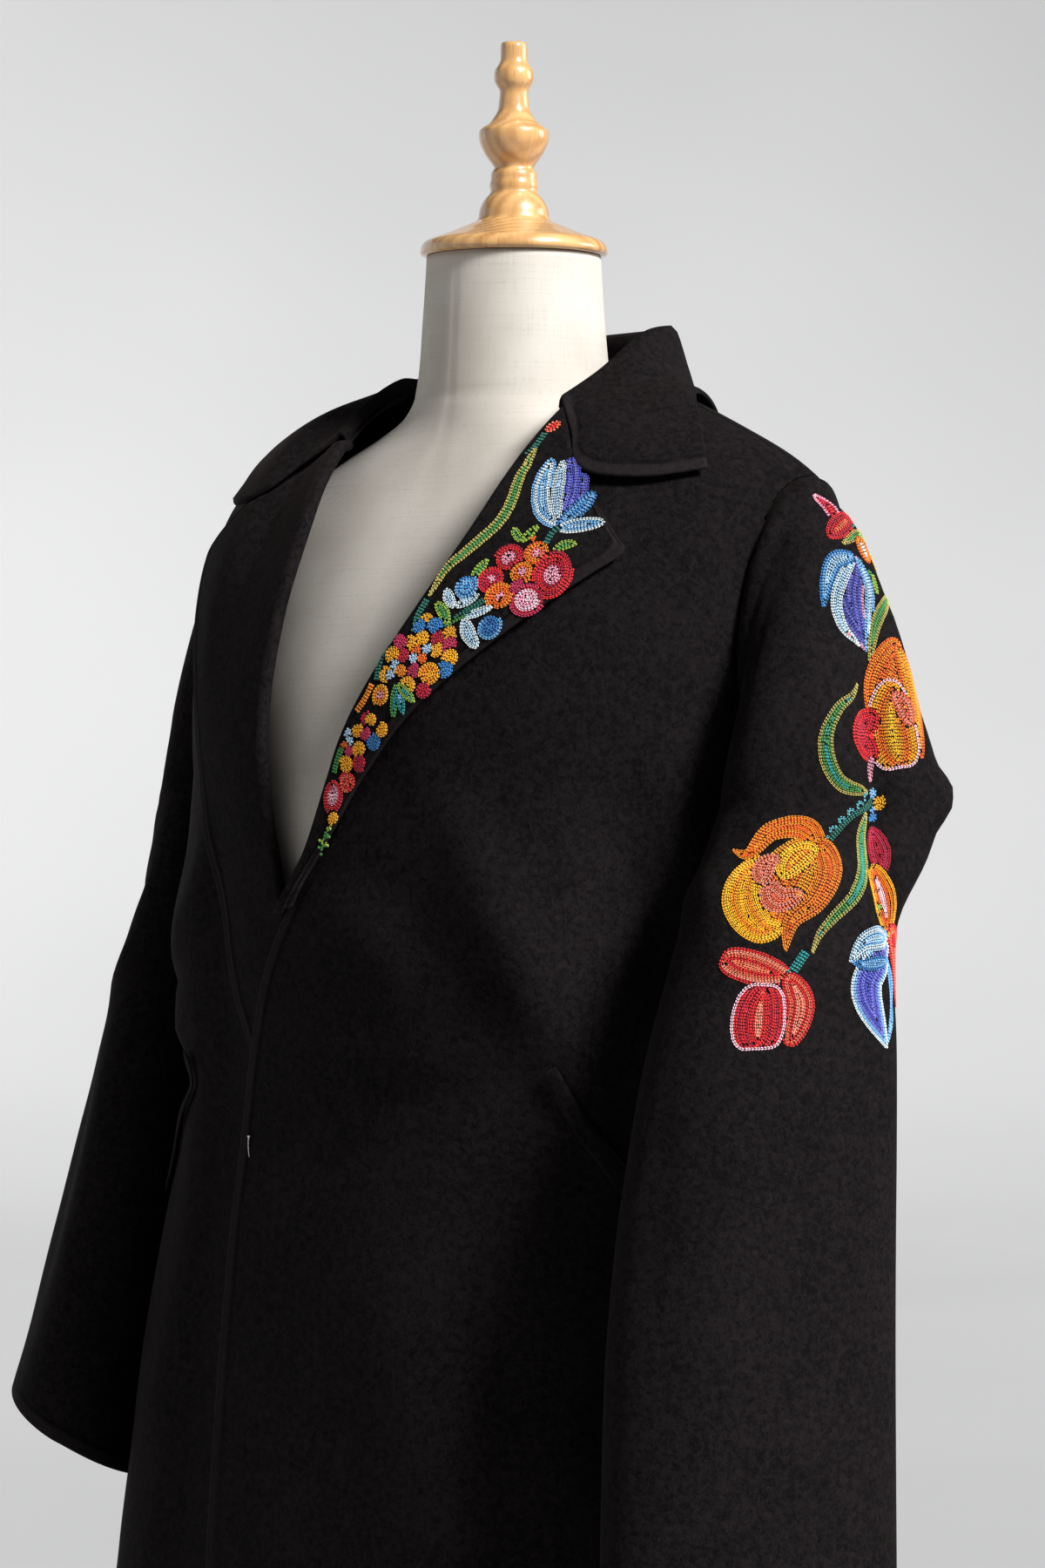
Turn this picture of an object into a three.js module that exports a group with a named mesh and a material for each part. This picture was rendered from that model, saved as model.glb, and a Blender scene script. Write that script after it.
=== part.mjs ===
// A long wool blazer, worn left over right on a limbless dress form with a turned wooden cap and stand.
// Millimetres, +Z up. The origin is on the floor under the neck. The wearer faces -Y, and the wearer's
// left is +X. Every cloth piece is a wall of even thickness around a middle surface.
import * as THREE from "three";

// ---- Driving dimensions ----
const CLOTH = 2.4; // thickness of the melton wall
const COLLAR_CLOTH = 3;
const SEAM_GAP = 0.3;
const CLEARANCE = 2.2; // between faceted walls that lie over each other
const HEM = 535; // heights above the floor
const UNDERARM = 1165;
const RIDGE_Y = 5; // the shoulder seams lie over this line
const SHOULDER_CLIMB = 200; // what is added to the level between the underarm and the shoulder seam
const YOKE_SPREAD = 18; // how much wider the body is at the shoulder seam than at the underarm
const FULLNESS = 2.3; // exponent of the rounded body sections, 2 is an ellipse
const NECK_FALL = 0.5; // how much faster the right front falls back beside the neck
const NECK_HALF_WIDTH = 90; // of the coat's neckline at the shoulder seam
const NECK_BACK_DEPTH = 83; // from the shoulder line to the neckline at the centre back
const ROLL_RADIUS = 3.4; // of the turned lapel and collar, at the middle of the wall
const TIGHT_ROLL = 2.5; // the same where the right lapel lies under the left front
const OVERLAP_SINK = 10.5; // how deep the right front lies under the left one
const OVERLAP_END = -25; // degrees round the body where the overlap ends
const OVERLAP_FADE = 0.22; // and the angle over which it fades, in radians
const SIDE_RADIUS = 214; // mean half width at the side seams
const SLEEVE_SQUARE = 0.92; // exponent of the sleeve rings, 1 is an ellipse
const QUARTER = Math.PI / 2;

// Horizontal sections of the coat: half widths to the wearer's left and right, depths from RIDGE_Y.
const BODY = [
  { height: 535, left: 242, right: 268, front: 196, back: 172 },
  { height: 680, left: 236, right: 258, front: 188, back: 160 },
  { height: 800, left: 228, right: 244, front: 180, back: 150 },
  { height: 885, left: 218, right: 231, front: 174, back: 134 },
  { height: 972, left: 206, right: 212, front: 168, back: 116 },
  { height: 1060, left: 210, right: 213, front: 175, back: 126 },
  { height: 1120, left: 212, right: 209, front: 171, back: 131 },
  { height: 1165, left: 212, right: 207, front: 166, back: 132 },
];

// Height of the shoulder line at a distance from the centre.
const SHOULDER_LINE = [
  { out: 0, height: 1462 },
  { out: 40, height: 1445 },
  { out: 85, height: 1403 },
  { out: 120, height: 1390 },
  { out: 166, height: 1369 },
  { out: 198, height: 1353 },
  { out: 225, height: 1336 },
  { out: 240, height: 1325 },
];

// Armhole edge: angle from the centre front or back, against the climb from underarm to shoulder.
const ARMHOLE = [
  { climb: 0, front: 90, back: 90 },
  { climb: 8, front: 81, back: 82 },
  { climb: 22, front: 75.5, back: 76 },
  { climb: 48, front: 72, back: 72 },
  { climb: 95, front: 70, back: 70 },
  { climb: 145, front: 70.5, back: 70.5 },
  { climb: 175, front: 72, back: 72 },
  { climb: 200, front: 74, back: 74 },
];

// Front edge, then roll line, then neckline, as distances from the centre plane.
const LEFT_EDGE = [
  { height: 535, across: -92 },
  { height: 720, across: -92 },
  { height: 850, across: -88 },
  { height: 962, across: -79 },
  { height: 1000, across: -70 },
  { height: 1040, across: -56 },
  { height: 1075, across: -38 },
  { height: 1100, across: -23 },
  { height: 1125, across: -9 },
  { height: 1187, across: 14 },
  { height: 1262, across: 61 },
  { height: 1300, across: 80 },
  { height: 1335, across: 90 },
  { height: 1372, across: 95 },
  { height: 1402, across: 90 },
];
const RIGHT_EDGE = [
  { height: 535, across: 72 },
  { height: 900, across: 62 },
  { height: 985, across: 28 },
  { height: 1035, across: -20 },
  { height: 1073, across: -41 },
  { height: 1118, across: -54 },
  { height: 1185, across: -63 },
  { height: 1262, across: -64 },
  { height: 1314, across: -66 },
  { height: 1360, across: -83 },
  { height: 1402, across: -90 },
];

// Outer edge of each lapel against the roll line's height beside it, up to the rounded tip and the notch.
const LEFT_LAPEL = [
  { roll: 1084, across: -22, height: 1087 },
  { roll: 1100, across: -10, height: 1107 },
  { roll: 1125, across: 8, height: 1134 },
  { roll: 1165, across: 30, height: 1168 },
  { roll: 1210, across: 65, height: 1206 },
  { roll: 1262, across: 118, height: 1251 },
  { roll: 1300, across: 150, height: 1278 },
  { roll: 1322, across: 162, height: 1290 },
  { roll: 1340, across: 156, height: 1300 },
  { roll: 1372, across: 129, height: 1332 },
];
const RIGHT_LAPEL = [
  { roll: 985, across: -66, height: 975 },
  { roll: 1010, across: -82, height: 1005 },
  { roll: 1040, across: -94, height: 1035 },
  { roll: 1076, across: -104, height: 1076 },
  { roll: 1120, across: -116, height: 1120 },
  { roll: 1165, across: -125, height: 1160 },
  { roll: 1225, across: -142, height: 1218 },
  { roll: 1280, across: -160, height: 1262 },
  { roll: 1312, across: -170, height: 1293 },
  { roll: 1330, across: -164, height: 1305 },
  { roll: 1360, across: -124, height: 1327 },
];

// Collar sections from the centre back round to the gorge seam: the stand's foot on the neckline, the
// fold, how much lower it sits on the wearer's right, the place where the fall meets the shoulder, and
// its outer edge. The two ends are on the fronts: the fold, the notch and the collar's point.
const COLLAR = [
  { turn: 0, footX: 0, footY: 86, foldX: 0, foldY: 94, foldZ: 1434, drop: 0, restX: 0, restY: 101,
    edgeX: 0, edgeY: 109 },
  { turn: 1, footX: 48, footY: 74, foldX: 50, foldY: 84, foldZ: 1434, drop: 5, restX: 57, restY: 91,
    edgeX: 66, edgeY: 99 },
  { turn: 2, footX: 78, footY: 46, foldX: 85, foldY: 50, foldZ: 1432, drop: 12, restX: 97, restY: 54,
    edgeX: 107, edgeY: 61 },
  { turn: 3, footX: 87, footY: 10, foldX: 94, foldY: 12, foldZ: 1425, drop: 20, restX: 114, restY: 10,
    edgeX: 132, edgeY: 8 },
  { turn: 4, footX: 88, footY: -26, foldX: 97, foldY: -30, foldZ: 1402, drop: 16, restX: 124, restY: -46,
    edgeX: 168, edgeY: -30 },
];
const LEFT_COLLAR_END = { foldX: 92, foldZ: 1375, notchX: 126, notchZ: 1337, pointX: 185, pointZ: 1337 };
const RIGHT_COLLAR_END = { foldX: -87, foldZ: 1363, notchX: -122, notchZ: 1331, pointX: -164, pointZ: 1332 };
const RIGHT_FALL = 0.94; // how far the fall reaches on the wearer's right, of its reach on the left

// Sleeve rings from the biceps to the cuff: centre, half widths along and across, degrees from the
// sideways axis back to the long axis, and how much higher the outer side is than the centre.
const LEFT_SLEEVE = [
  { height: 1146, x: 255, y: -35, wide: 57, thick: 36, turn: 66, rise: 0 },
  { height: 1082, x: 259, y: -66, wide: 61, thick: 42, turn: 62, rise: 0 },
  { height: 1005, x: 263, y: -88, wide: 72, thick: 45, turn: 60, rise: 0 },
  { height: 954, x: 264, y: -97, wide: 77, thick: 45, turn: 60, rise: 0 },
  { height: 898, x: 265, y: -105, wide: 81, thick: 44, turn: 60, rise: 0 },
  { height: 828, x: 266, y: -111, wide: 84, thick: 43, turn: 60, rise: 0 },
  { height: 700, x: 267, y: -114, wide: 86, thick: 42, turn: 60, rise: 6 },
];
const RIGHT_SLEEVE = [
  { height: 1146, x: 243, y: 8, wide: 58, thick: 26, turn: 86, rise: 0 },
  { height: 1080, x: 252, y: -4, wide: 62, thick: 31, turn: 82, rise: 4 },
  { height: 1000, x: 264, y: -20, wide: 68, thick: 36, turn: 72, rise: 10 },
  { height: 900, x: 279, y: -38, wide: 74, thick: 38, turn: 64, rise: 16 },
  { height: 800, x: 295, y: -54, wide: 80, thick: 41, turn: 60, rise: 22 },
  { height: 750, x: 302, y: -60, wide: 84, thick: 45, turn: 60, rise: 28 },
];

// Folds that stand out behind the left upper arm: reach along the arm's wide way, fading above, below and
// round the arm by degrees.
const FLAPS = [
  { height: 1158, above: 85, below: 62, reach: 17, spread: 30 },
  { height: 1290, above: 60, below: 70, reach: 9.5, spread: 55 },
  { height: 1157, above: 13, below: 28, reach: 6, spread: 24 },
];
const FLAP_WAY = 40; // degrees from the sideways axis back to the flaps' direction

// Soft folds of the body: from and to an angle round the body and a height, their height and half width.
const FOLDS = [
  { angle: 24, height: 1120, toAngle: 52, toHeight: 960, rise: 7, spread: 26 },
  { angle: 52, height: 1150, toAngle: 66, toHeight: 990, rise: -10, spread: 26 },
  { angle: 8, height: 900, toAngle: 30, toHeight: 560, rise: 7, spread: 34 },
  { angle: 50, height: 860, toAngle: 58, toHeight: 540, rise: -8, spread: 30 },
  { angle: -50, height: 1110, toAngle: -40, toHeight: 960, rise: 6, spread: 28 },
  { angle: -62, height: 1010, toAngle: -36, toHeight: 970, rise: -5, spread: 18 },
  { angle: -44, height: 880, toAngle: -52, toHeight: 540, rise: 8, spread: 34 },
  { angle: 118, height: 1110, toAngle: 140, toHeight: 930, rise: 6, spread: 26 },
  { angle: 148, height: 900, toAngle: 138, toHeight: 540, rise: 8, spread: 34 },
  { angle: 180, height: 960, toAngle: 180, toHeight: 540, rise: -7, spread: 28 },
  { angle: -146, height: 900, toAngle: -136, toHeight: 540, rise: 8, spread: 34 },
  { angle: -118, height: 1100, toAngle: -142, toHeight: 920, rise: 6, spread: 26 },
];

// Curved pocket mouths, as places on the left front that the right front mirrors.
const POCKET = [
  { along: 0, across: 141, height: 1000 },
  { along: 1, across: 153, height: 971 },
  { along: 2, across: 169, height: 944 },
  { along: 3, across: 187, height: 914 },
];
const WELT = { width: 9, thickness: 1.6, slant: 0.7 };

// Dress form: half width, depth to the front and depth to the back.
const FORM = [
  { height: 700, side: 178, front: 128, back: 112 },
  { height: 706, side: 184, front: 133, back: 117 },
  { height: 800, side: 187, front: 136, back: 122 },
  { height: 880, side: 176, front: 130, back: 112 },
  { height: 975, side: 156, front: 124, back: 92 },
  { height: 1060, side: 172, front: 142, back: 102 },
  { height: 1130, side: 184, front: 149, back: 110 },
  { height: 1200, side: 188, front: 140, back: 112 },
  { height: 1260, side: 188, front: 118, back: 106 },
  { height: 1310, side: 178, front: 94, back: 92 },
  { height: 1340, side: 152, front: 78, back: 78 },
  { height: 1358, side: 122, front: 69, back: 70 },
  { height: 1370, side: 94, front: 64, back: 66 },
  { height: 1382, side: 70, front: 61, back: 63 },
  { height: 1400, side: 60, front: 58, back: 60 },
  { height: 1440, side: 55.5, front: 55.5, back: 55.5 },
  { height: 1479.7, side: 53, front: 53, back: 53 },
];
const FORM_COLUMNS = 28;

// Turned cap: height above its underside and radius.
const CAP_HEIGHT = 1480;
const CAP = [
  [0, 0], [56, 0], [58.1, 1.2], [57.6, 3.4], [55.2, 8.6], [39, 14.6], [23.3, 21.2], [21.6, 21.8], [21.3, 28],
  [18.3, 34.5], [13.2, 39.8], [15.1, 41], [15.1, 45.4], [13.2, 46.4], [14.3, 47.4], [14.3, 51.6], [11.2, 53.3],
  [13.2, 56.2], [17.9, 62.3], [21.3, 70], [21.6, 77], [14.8, 81], [9.6, 88.7], [8.4, 101.4], [12.1, 106],
  [12.1, 113.4], [8.2, 118], [8.1, 130.6], [0, 130.6],
];

// Stand: plain round base and pole.
const POLE_RADIUS = 16;
const BASE = [
  [0, 0], [190, 0], [195, 5], [195, 16], [188, 22], [150, 28], [60, 33], [34, 38], [30, 52], [0, 52],
];
const BASE_TOP = 52;

// ---- Tables and small maths ----
const lerp = THREE.MathUtils.lerp;
const rad = THREE.MathUtils.degToRad;
const signedPower = (value, power) => Math.sign(value) * Math.abs(value) ** power;

// Smooth step from 0 at a to 1 at b.
function rampUp(a, b, value) {
  return THREE.MathUtils.smoothstep((value - a) / (b - a), 0, 1);
}

// One column of a table at a place between its rows, on cubics whose slopes follow the rows beside them.
function read(rows, key, place, column) {
  const last = rows.length - 1;
  if (place <= rows[0][key]) return rows[0][column];
  if (place >= rows[last][key]) return rows[last][column];
  let i = 0;
  while (rows[i + 1][key] < place) i += 1;
  const slope = (a, b) => (rows[b][column] - rows[a][column]) / (rows[b][key] - rows[a][key]);
  const step = rows[i + 1][key] - rows[i][key];
  const t = (place - rows[i][key]) / step;
  const start = slope(Math.max(i - 1, 0), i + 1) * step;
  const end = slope(i, Math.min(i + 2, last)) * step;
  const t2 = t * t;
  const t3 = t2 * t;
  return (2 * t3 - 3 * t2 + 1) * rows[i][column] + (t3 - 2 * t2 + t) * start
    + (3 * t2 - 2 * t3) * rows[i + 1][column] + (t3 - t2) * end;
}

const shoulderHeight = (x) => read(SHOULDER_LINE, "out", Math.abs(x), "height");

// ---- The body's middle surface ----
// A place on it is an angle round the body, 0 at the centre front and positive to the wearer's left,
// and a level: the height below the underarm, and above it the underarm plus a climb to the shoulder.
function climbAngle(level) {
  return (Math.max(0, level - UNDERARM) / SHOULDER_CLIMB) * QUARTER;
}

function halfWidth(side, level) {
  const column = side > 0 ? "left" : "right";
  return read(BODY, "height", Math.min(level, UNDERARM), column) + YOKE_SPREAD * Math.sin(climbAngle(level));
}

// Exponent of the climb's depth: 1, and more beside the neck on the wearer's right.
function fallBack(x) {
  return 1 + NECK_FALL * rampUp(0, 50, -x) * (1 - rampUp(95, 130, -x));
}

function bodyPoint(angle, level) {
  const sine = Math.sin(angle);
  const cosine = Math.cos(angle);
  const climb = climbAngle(level);
  const depth = read(BODY, "height", Math.min(level, UNDERARM), cosine > 0 ? "front" : "back");
  const x = halfWidth(sine, level) * signedPower(sine, 2 / FULLNESS);
  const fall = cosine > 0 ? fallBack(x) : 1;
  const y = RIDGE_Y - depth * signedPower(Math.cos(climb), fall) * signedPower(cosine, 2 / FULLNESS);
  const z = level <= UNDERARM ? level : UNDERARM + (shoulderHeight(x) - UNDERARM) * Math.sin(climb);
  return new THREE.Vector3(x, y, z);
}

function bodyNormal(angle, level) {
  const turn = 0.01;
  const lift = 2;
  const along = bodyPoint(angle + turn, level).sub(bodyPoint(angle - turn, level));
  const up = bodyPoint(angle, level + lift).sub(bodyPoint(angle, level - lift));
  return along.cross(up).normalize();
}

// How far the soft folds move the surface out: each is a ridge or trough that fades at its ends.
function foldRise(angle, level) {
  let rise = 0;
  for (const fold of FOLDS) {
    const turned = Math.atan2(Math.sin(angle - rad(fold.angle)), Math.cos(angle - rad(fold.angle)));
    const run = new THREE.Vector2(rad(fold.toAngle - fold.angle) * 200, fold.toHeight - fold.height);
    const at = new THREE.Vector2(turned * 200, level - fold.height);
    const part = at.dot(run) / run.lengthSq();
    const side = at.cross(run) / run.length();
    const fade = rampUp(-0.15, 0.3, part) * (1 - rampUp(fold.toHeight < HEM + 40 ? 1.2 : 0.7, 1.4, part));
    rise += fold.rise * fade * Math.exp(-((side / fold.spread) ** 2));
  }
  return rise;
}

function onBody(place, out = 0) {
  const { angle, level } = place;
  const normal = bodyNormal(angle, level);
  return bodyPoint(angle, level).addScaledVector(normal, out + foldRise(angle, level));
}

// The place on the front at a distance across and a height.
function frontPlace(across, height) {
  const top = shoulderHeight(across);
  const climb = height <= UNDERARM ? 0 : Math.asin(Math.min(1, (height - UNDERARM) / (top - UNDERARM)));
  const level = height <= UNDERARM ? height : UNDERARM + (climb / QUARTER) * SHOULDER_CLIMB;
  const part = Math.min(1, Math.abs(across) / halfWidth(across, level));
  return { angle: Math.sign(across) * Math.asin(part ** (FULLNESS / 2)), level };
}

// The place on the shoulders, front or back, above or below a point of the plan.
function planPlace(x, y) {
  const depth = BODY[BODY.length - 1][y <= RIDGE_Y ? "front" : "back"];
  let level = UNDERARM + SHOULDER_CLIMB / 2;
  let around = 0;
  for (let pass = 0; pass < 6; pass += 1) {
    around = Math.asin(Math.min(1, Math.abs(x) / halfWidth(x, level)) ** (FULLNESS / 2));
    const reach = depth * Math.cos(around) ** (2 / FULLNESS);
    const fall = y <= RIDGE_Y ? fallBack(x) : 1;
    const climb = Math.acos(Math.min(1, Math.abs(y - RIDGE_Y) / reach) ** (1 / fall));
    level = UNDERARM + (climb / QUARTER) * SHOULDER_CLIMB;
  }
  const side = x < 0 ? -1 : 1;
  return { angle: side * (y <= RIDGE_Y ? around : Math.PI - around), level };
}

// ---- Walls ----
function surfaceNormals(grid, round) {
  const rows = grid.length;
  const columns = grid[0].length;
  return grid.map((row, i) => row.map((point, j) => {
    const before = round ? row[(j + columns - 1) % columns] : row[Math.max(j - 1, 0)];
    const after = round ? row[(j + 1) % columns] : row[Math.min(j + 1, columns - 1)];
    const below = grid[Math.max(i - 1, 0)][j];
    const above = grid[Math.min(i + 1, rows - 1)][j];
    return after.clone().sub(before).cross(above.clone().sub(below)).normalize();
  }));
}

// A closed wall of even thickness around a grid of points, open at its four edges, or a tube when round.
// The grid's rows run upwards and its columns anticlockwise seen from above, so that it faces outwards.
function wall(grid, thickness, round = false) {
  const rows = grid.length;
  const columns = grid[0].length;
  const normals = surfaceNormals(grid, round);
  const positions = [];
  for (const side of [thickness / 2, -thickness / 2]) {
    grid.forEach((row, i) => row.forEach((point, j) => {
      positions.push(...point.clone().addScaledVector(normals[i][j], side).toArray());
    }));
  }
  const inner = rows * columns;
  const at = (i, j) => i * columns + (j % columns);
  const faces = [];
  const quad = (a, b, c, d) => faces.push(a, b, c, a, c, d);
  const spans = round ? columns : columns - 1;
  for (let i = 0; i < rows - 1; i += 1) {
    for (let j = 0; j < spans; j += 1) {
      quad(at(i, j), at(i, j + 1), at(i + 1, j + 1), at(i + 1, j));
      quad(inner + at(i, j), inner + at(i + 1, j), inner + at(i + 1, j + 1), inner + at(i, j + 1));
    }
  }
  for (let j = 0; j < spans; j += 1) {
    quad(at(0, j), inner + at(0, j), inner + at(0, j + 1), at(0, j + 1));
    const top = rows - 1;
    quad(at(top, j), at(top, j + 1), inner + at(top, j + 1), inner + at(top, j));
  }
  if (!round) {
    const end = columns - 1;
    for (let i = 0; i < rows - 1; i += 1) {
      quad(at(i, 0), at(i + 1, 0), inner + at(i + 1, 0), inner + at(i, 0));
      quad(at(i, end), inner + at(i, end), inner + at(i + 1, end), at(i + 1, end));
    }
  }
  return solid(positions, faces);
}

function solid(positions, faces) {
  const geometry = new THREE.BufferGeometry();
  geometry.setAttribute("position", new THREE.Float32BufferAttribute(positions, 3));
  geometry.setIndex(faces);
  geometry.computeVertexNormals();
  return geometry;
}

// A closed solid through rings of points, with a flat cap at each end.
function loft(rings) {
  const count = rings[0].length;
  const positions = rings.flat().flatMap((point) => point.toArray());
  const faces = [];
  for (let i = 0; i < rings.length - 1; i += 1) {
    for (let j = 0; j < count; j += 1) {
      const a = i * count + j;
      const b = i * count + ((j + 1) % count);
      faces.push(a, b, b + count, a, b + count, a + count);
    }
  }
  const foot = positions.length / 3;
  const middle = (ring) => ring.reduce((sum, point) => sum.add(point), new THREE.Vector3())
    .divideScalar(count);
  positions.push(...middle(rings[0]).toArray(), ...middle(rings[rings.length - 1]).toArray());
  const top = (rings.length - 1) * count;
  for (let j = 0; j < count; j += 1) {
    const next = (j + 1) % count;
    faces.push(foot, next, j, foot + 1, top + j, top + next);
  }
  return solid(positions, faces);
}

// ---- Panels ----
const BODY_LEVELS = [
  HEM, 605, 680, 750, 820, 885, 940, 985, 1025, 1060, 1084, 1104, 1125, 1146, 1165, 1173, 1187, 1207, 1232, 1262,
  1292, 1320, 1343, 1365,
];

function armholeAngle(climb, panel) {
  return rad(read(ARMHOLE, "climb", climb, panel));
}

// Where a front's inner edge crosses a level. Above the underarm a level isn't a height, so the two
// are brought together in a few passes.
function edgePlace(edge, level) {
  let height = level;
  let across = 0;
  for (let pass = 0; pass < 8; pass += 1) {
    across = read(edge, "height", height, "across");
    if (level > UNDERARM) {
      height = UNDERARM + (shoulderHeight(across) - UNDERARM) * Math.sin(climbAngle(level));
    }
  }
  return frontPlace(across, height);
}

// How deep the right front sinks under the left one, nothing past the overlap and above the V.
function underlap(angle, level) {
  const end = rad(OVERLAP_END);
  return -OVERLAP_SINK * rampUp(end - OVERLAP_FADE, end, angle) * (1 - rampUp(1075, 1175, level));
}

const FRONT_COLUMNS = 14;

function frontPanel(side, edge, sink) {
  const sideGap = SEAM_GAP / 2 / SIDE_RADIUS;
  return BODY_LEVELS.map((level) => {
    const inner = edgePlace(edge, level).angle;
    const outer = side * (armholeAngle(level - UNDERARM, "front") - sideGap);
    const row = [];
    for (let j = 0; j < FRONT_COLUMNS; j += 1) {
      const angle = lerp(inner, outer, j / (FRONT_COLUMNS - 1));
      row.push(onBody({ angle, level: level - seamDrop(level) }, sink(angle, level)));
    }
    return side > 0 ? row : row.reverse();
  });
}

// The top row stops half a seam gap before the shoulder seam.
function seamDrop(level) {
  return level === BODY_LEVELS[BODY_LEVELS.length - 1] ? 2 * SEAM_GAP : 0;
}

// Level of the back neckline above a distance from the centre.
function backTopLevel(x) {
  const part = Math.min(1, Math.abs(x) / NECK_HALF_WIDTH);
  const y = RIDGE_Y + NECK_BACK_DEPTH * Math.sqrt(1 - part * part);
  return planPlace(x, Math.max(y, RIDGE_Y + SEAM_GAP)).level;
}

const BACK_COLUMNS = 25;

function backPanel() {
  const sideGap = SEAM_GAP / 2 / SIDE_RADIUS;
  const top = UNDERARM + SHOULDER_CLIMB;
  return BODY_LEVELS.map((level) => {
    const first = armholeAngle(level - UNDERARM, "back") - sideGap;
    const row = [];
    for (let j = 0; j < BACK_COLUMNS; j += 1) {
      const angle = lerp(Math.PI - first, Math.PI + first, j / (BACK_COLUMNS - 1));
      let lower = level;
      if (level > UNDERARM) {
        const highest = backTopLevel(bodyPoint(angle, level).x);
        lower = UNDERARM + ((level - UNDERARM) / SHOULDER_CLIMB) * (highest - UNDERARM);
      }
      row.push(onBody({ angle, level: Math.min(lower, top - seamDrop(level)) }));
    }
    return row;
  });
}

// ---- Lapels ----
const LAPEL_ROWS = 15;
const ROLL_STEPS = 5;
const LAY_STEPS = 6;
const LAPEL_SETTLE = 0.8; // how much closer the outer edge lies than the roll

// Each row turns round the roll line on a half circle, then lies back over the front to the outer edge.
function lapel(edge, outline, side, sink) {
  const last = outline.length - 1;
  const key = outline.map((row, index) => ({ ...row, index }));
  const grid = [];
  for (let i = 0; i < LAPEL_ROWS; i += 1) {
    const place = lerp(0, last, i / (LAPEL_ROWS - 1));
    const roll = read(key, "index", place, "roll");
    const across = read(edge, "height", roll, "across");
    const outer = { across: read(key, "index", place, "across"), height: read(key, "index", place, "height") };
    const start = frontPlace(across, roll);
    const under = sink(start.angle, start.level);
    const foot = onBody(start, under);
    const next = onBody(frontPlace(lerp(across, outer.across, 0.1), lerp(roll, outer.height, 0.1)), under);
    const normal = bodyNormal(start.angle, start.level);
    const away = foot.clone().sub(next).normalize();
    away.addScaledVector(normal, -away.dot(normal)).normalize();
    const sunk = under < -1 ? Math.min(1, -under / OVERLAP_SINK) : 0;
    const radius = lerp(ROLL_RADIUS, TIGHT_ROLL, sunk);
    const centre = foot.clone().addScaledVector(normal, radius).addScaledVector(away, CLEARANCE);
    const row = [];
    for (let j = 0; j < ROLL_STEPS; j += 1) {
      const turn = lerp(-QUARTER, QUARTER, j / (ROLL_STEPS - 1));
      row.push(centre.clone().addScaledVector(away, radius * Math.cos(turn))
        .addScaledVector(normal, radius * Math.sin(turn)));
    }
    for (let j = 1; j <= LAY_STEPS; j += 1) {
      const part = j / LAY_STEPS;
      const spot = frontPlace(lerp(across, outer.across, part), lerp(roll, outer.height, part));
      row.push(onBody(spot, sink(spot.angle, spot.level) + 2 * radius - LAPEL_SETTLE * part));
    }
    grid.push(side > 0 ? row : row.reverse());
  }
  return grid;
}

// ---- Collar ----
const COLLAR_ROWS = 12;

// One section: up the stand, round the fold, then down the fall, which lies on the shoulder.
function collarSection(turn, side) {
  const ends = side > 0 ? LEFT_COLLAR_END : RIGHT_COLLAR_END;
  const start = onBody(frontPlace(ends.foldX, ends.foldZ));
  const fold = onBody(frontPlace(ends.foldX, ends.foldZ), 2 * ROLL_RADIUS);
  const notch = onBody(frontPlace(ends.notchX, ends.notchZ));
  const point = onBody(frontPlace(ends.pointX, ends.pointZ));
  const rows = [...COLLAR, {
    turn: COLLAR.length, footX: side * start.x - 3, footY: start.y + 1, foldX: side * fold.x,
    foldY: fold.y, foldZ: fold.z + 2, drop: 0, restX: side * notch.x, restY: notch.y,
    edgeX: side * point.x, edgeY: point.y,
  }];
  const value = (column) => read(rows, "turn", turn, column);
  const lift = 2 * ROLL_RADIUS + 0.6;
  const drop = side > 0 ? 0 : value("drop");
  const top = new THREE.Vector3(side * value("foldX"), value("foldY"), value("foldZ") - drop);
  const under = planPlace(top.x, top.y);
  const beneath = bodyPoint(under.angle, under.level);
  top.z = Math.max(top.z, beneath.z + 2 * ROLL_RADIUS + CLEARANCE);
  const foot = onBody(planPlace(side * value("footX"), value("footY")), CLOTH);
  const rest = onBody(planPlace(side * value("restX"), value("restY")), lift);
  const reach = side > 0 || turn === COLLAR.length ? 1 : RIGHT_FALL;
  const edge = onBody(planPlace(side * reach * value("edgeX"), value("edgeY")), lift - 0.6);
  const middle = onBody(planPlace((rest.x + edge.x) / 2, (rest.y + edge.y) / 2), lift);
  const inward = new THREE.Vector3(-top.x, -top.y, 0).normalize();
  const standTop = top.clone().addScaledVector(inward, 2 * ROLL_RADIUS);
  standTop.z = Math.max(top.z - ROLL_RADIUS, foot.z + 1);
  const crest = top.clone().addScaledVector(inward, ROLL_RADIUS);
  crest.z += ROLL_RADIUS;
  const shoulder = top.clone().addScaledVector(rest.clone().sub(top).normalize(), 4);
  return [foot, foot.clone().lerp(standTop, 0.5), standTop, crest, top, shoulder.lerp(rest, 0.4),
    rest, middle, edge];
}

function collarGrid() {
  const grid = [];
  for (let i = -COLLAR_ROWS; i <= COLLAR_ROWS; i += 1) {
    const turn = (Math.abs(i) / COLLAR_ROWS) * COLLAR.length;
    grid.push(collarSection(turn, i < 0 ? -1 : 1));
  }
  return grid;
}

// ---- Sleeves ----
const SLEEVE_COLUMNS = 22;
const CAP_STEPS = 7;
const CAP_DEPTH = 190; // drop from the shoulder tip to the biceps ring
const SLEEVE_INSET = 2.6; // from the armhole's edge to the middle of the sleeve's own edge
const SLEEVE_LIFT = 2.1;
const ARM_HEIGHTS = [1146, 1115, 1082, 1050, 1005, 954, 898, 828, 765];

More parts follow.
